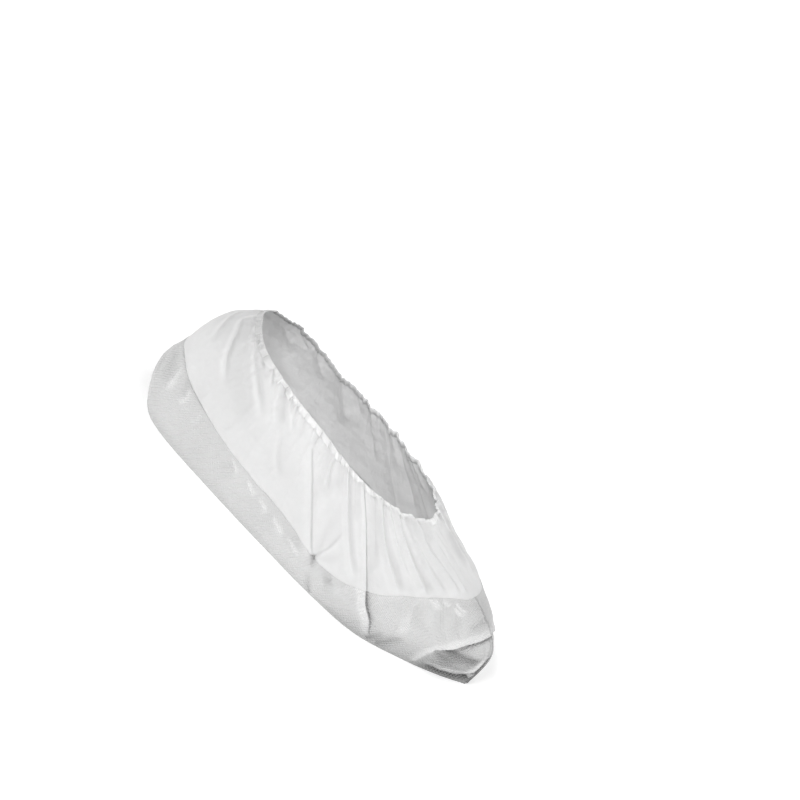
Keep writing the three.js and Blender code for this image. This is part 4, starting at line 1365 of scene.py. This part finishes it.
@dataclass
class Studio:
    """A white floor, soft light and the camera."""

    azimuth: float = 14.5
    elevation: float = 28.0
    roll: float = 36.1
    mm_per_pixel: float = 0.663
    distance: float = 1.7
    anchor: tuple[float, float] = (465.0, 684.0)
    picture: float = 800.0
    floor_size: float = 6.0

    def build(self, form: Form) -> None:
        """Sets the floor, the lights, the camera and the way the picture is developed."""
        self._floor()
        self._lights()
        self._camera(form)
        bpy.context.scene.view_settings.view_transform = "Standard"

    def _camera(self, form: Form) -> None:
        """Places the camera so that the tip of the sole falls on its place in the picture."""
        a, e, r = (math.radians(v) for v in (self.azimuth, self.elevation, self.roll))
        back = Vector((math.sin(a) * math.cos(e), -math.cos(a) * math.cos(e), math.sin(e)))
        right = Vector((math.cos(a), math.sin(a), 0.0))
        up = back.cross(right)
        tilted_right = right * math.cos(r) + up * math.sin(r)
        tilted_up = up * math.cos(r) - right * math.sin(r)
        tip = Vector(form.to_frame(np.array([form.length, 0.0, 0.0])))
        scale = self.mm_per_pixel * MM
        half = self.picture / 2.0
        across, down = ((value - half) * scale for value in self.anchor)
        aim = tip - tilted_right * across + tilted_up * down
        data = bpy.data.cameras.new("camera")
        data.sensor_width = 36.0
        data.lens = data.sensor_width * self.distance / (self.picture * scale)
        camera = bpy.data.objects.new("camera", data)
        bpy.context.scene.collection.objects.link(camera)
        place = aim + back * self.distance
        turn = Matrix((tilted_right, tilted_up, back)).transposed().to_4x4()
        camera.matrix_world = Matrix.Translation(place) @ turn
        data.clip_start = 0.05
        data.clip_end = 30.0
        bpy.context.scene.camera = camera

    def _floor(self) -> None:
        """Lays a plain white floor at the sole's lowest point."""
        size = self.floor_size
        level = CAD_BOX[0].z
        mesh = bpy.data.meshes.new("floor")
        corners = [(-size, -size, level), (size, -size, level), (size, size, level), (-size, size, level)]
        mesh.from_pydata(corners, [], [(0, 1, 2, 3)])
        floor = bpy.data.objects.new("floor", mesh)
        bpy.context.scene.collection.objects.link(floor)
        material = bpy.data.materials.new("floor_white")
        material.use_nodes = True
        shader = material.node_tree.nodes["Principled BSDF"]
        shader.inputs["Base Color"].default_value = (0.95, 0.95, 0.95, 1.0)
        shader.inputs["Roughness"].default_value = 0.9
        shader.inputs["Specular IOR Level"].default_value = 0.1
        shader.inputs["Emission Color"].default_value = (1.0, 1.0, 1.0, 1.0)
        shader.inputs["Emission Strength"].default_value = 0.24
        mesh.materials.append(material)

    def _lights(self) -> None:
        """A bright even room, two broad soft suns and a small lamp for glints."""
        world = bpy.data.worlds.new("room")
        bpy.context.scene.world = world
        world.use_nodes = True
        background = world.node_tree.nodes["Background"]
        background.inputs["Color"].default_value = (1.0, 1.0, 1.0, 1.0)
        background.inputs["Strength"].default_value = 0.48
        self._sun("key", (-0.15, -0.85, 0.75), 16.0, 1.05)
        self._sun("top", (0.9, -0.2, 0.9), 80.0, 1.12)
        self._lamp("glint", (-0.2, -1.0, 1.2), 0.12, 1.6)

    def _sun(self, name: str, place: Triple, angle: float, strength: float) -> None:
        """Adds a soft sun that shines from the direction of place."""
        data = bpy.data.lights.new(name, "SUN")
        data.angle = math.radians(angle)
        data.energy = strength
        self._aimed(name, data, place)

    def _lamp(self, name: str, place: Triple, size: float, power: float) -> None:
        """Adds a square area lamp."""
        data = bpy.data.lights.new(name, "AREA")
        data.size = size
        data.energy = power
        self._aimed(name, data, place)

    def _aimed(self, name: str, data: bpy.types.Light, place: Triple) -> None:
        """Places a light and turns it to the middle of the cover."""
        lamp = bpy.data.objects.new(name, data)
        bpy.context.scene.collection.objects.link(lamp)
        lamp.location = place
        aim = Vector((0.0, 0.0, 0.04)) - Vector(place)
        lamp.rotation_mode = "QUATERNION"
        lamp.rotation_quaternion = aim.to_track_quat("-Z", "Y")


def main() -> None:
    """Builds the studio and the four pieces of the cover."""
    logging.basicConfig(level=logging.INFO, format="%(message)s")
    form = Form()
    Studio().build(form)
    gathers = Gathers(form)
    effects = EffectLibrary()
    cloth = NonWovenFinish().make(effects)
    film = FilmFinish().make(effects)
    weld = WeldFinish().make(effects)
    casing = NonWovenFinish(
        name="casing_non_woven",
        pale=(0.89, 0.89, 0.89),
        deep=(0.84, 0.84, 0.84),
        # hollow is the colour of the casing's painted shade.
        hollow=(0.56, 0.56, 0.56),
        cloud_size=8.0,
        crumple_depth=0.3,
    ).make(effects)
    pieces = (
        (Upper(form, gathers), cloth),
        (SoleFilm(form, gathers), film),
        (ElasticEdge(form, gathers), casing),
        (ToeSeam(form), weld),
    )
    for maker, finish in pieces:
        piece = maker.build()
        maker.dress(piece, finish)
        log.info("%s: %d faces", piece.name, len(piece.data.polygons))


if __name__ == "__main__":
    main()
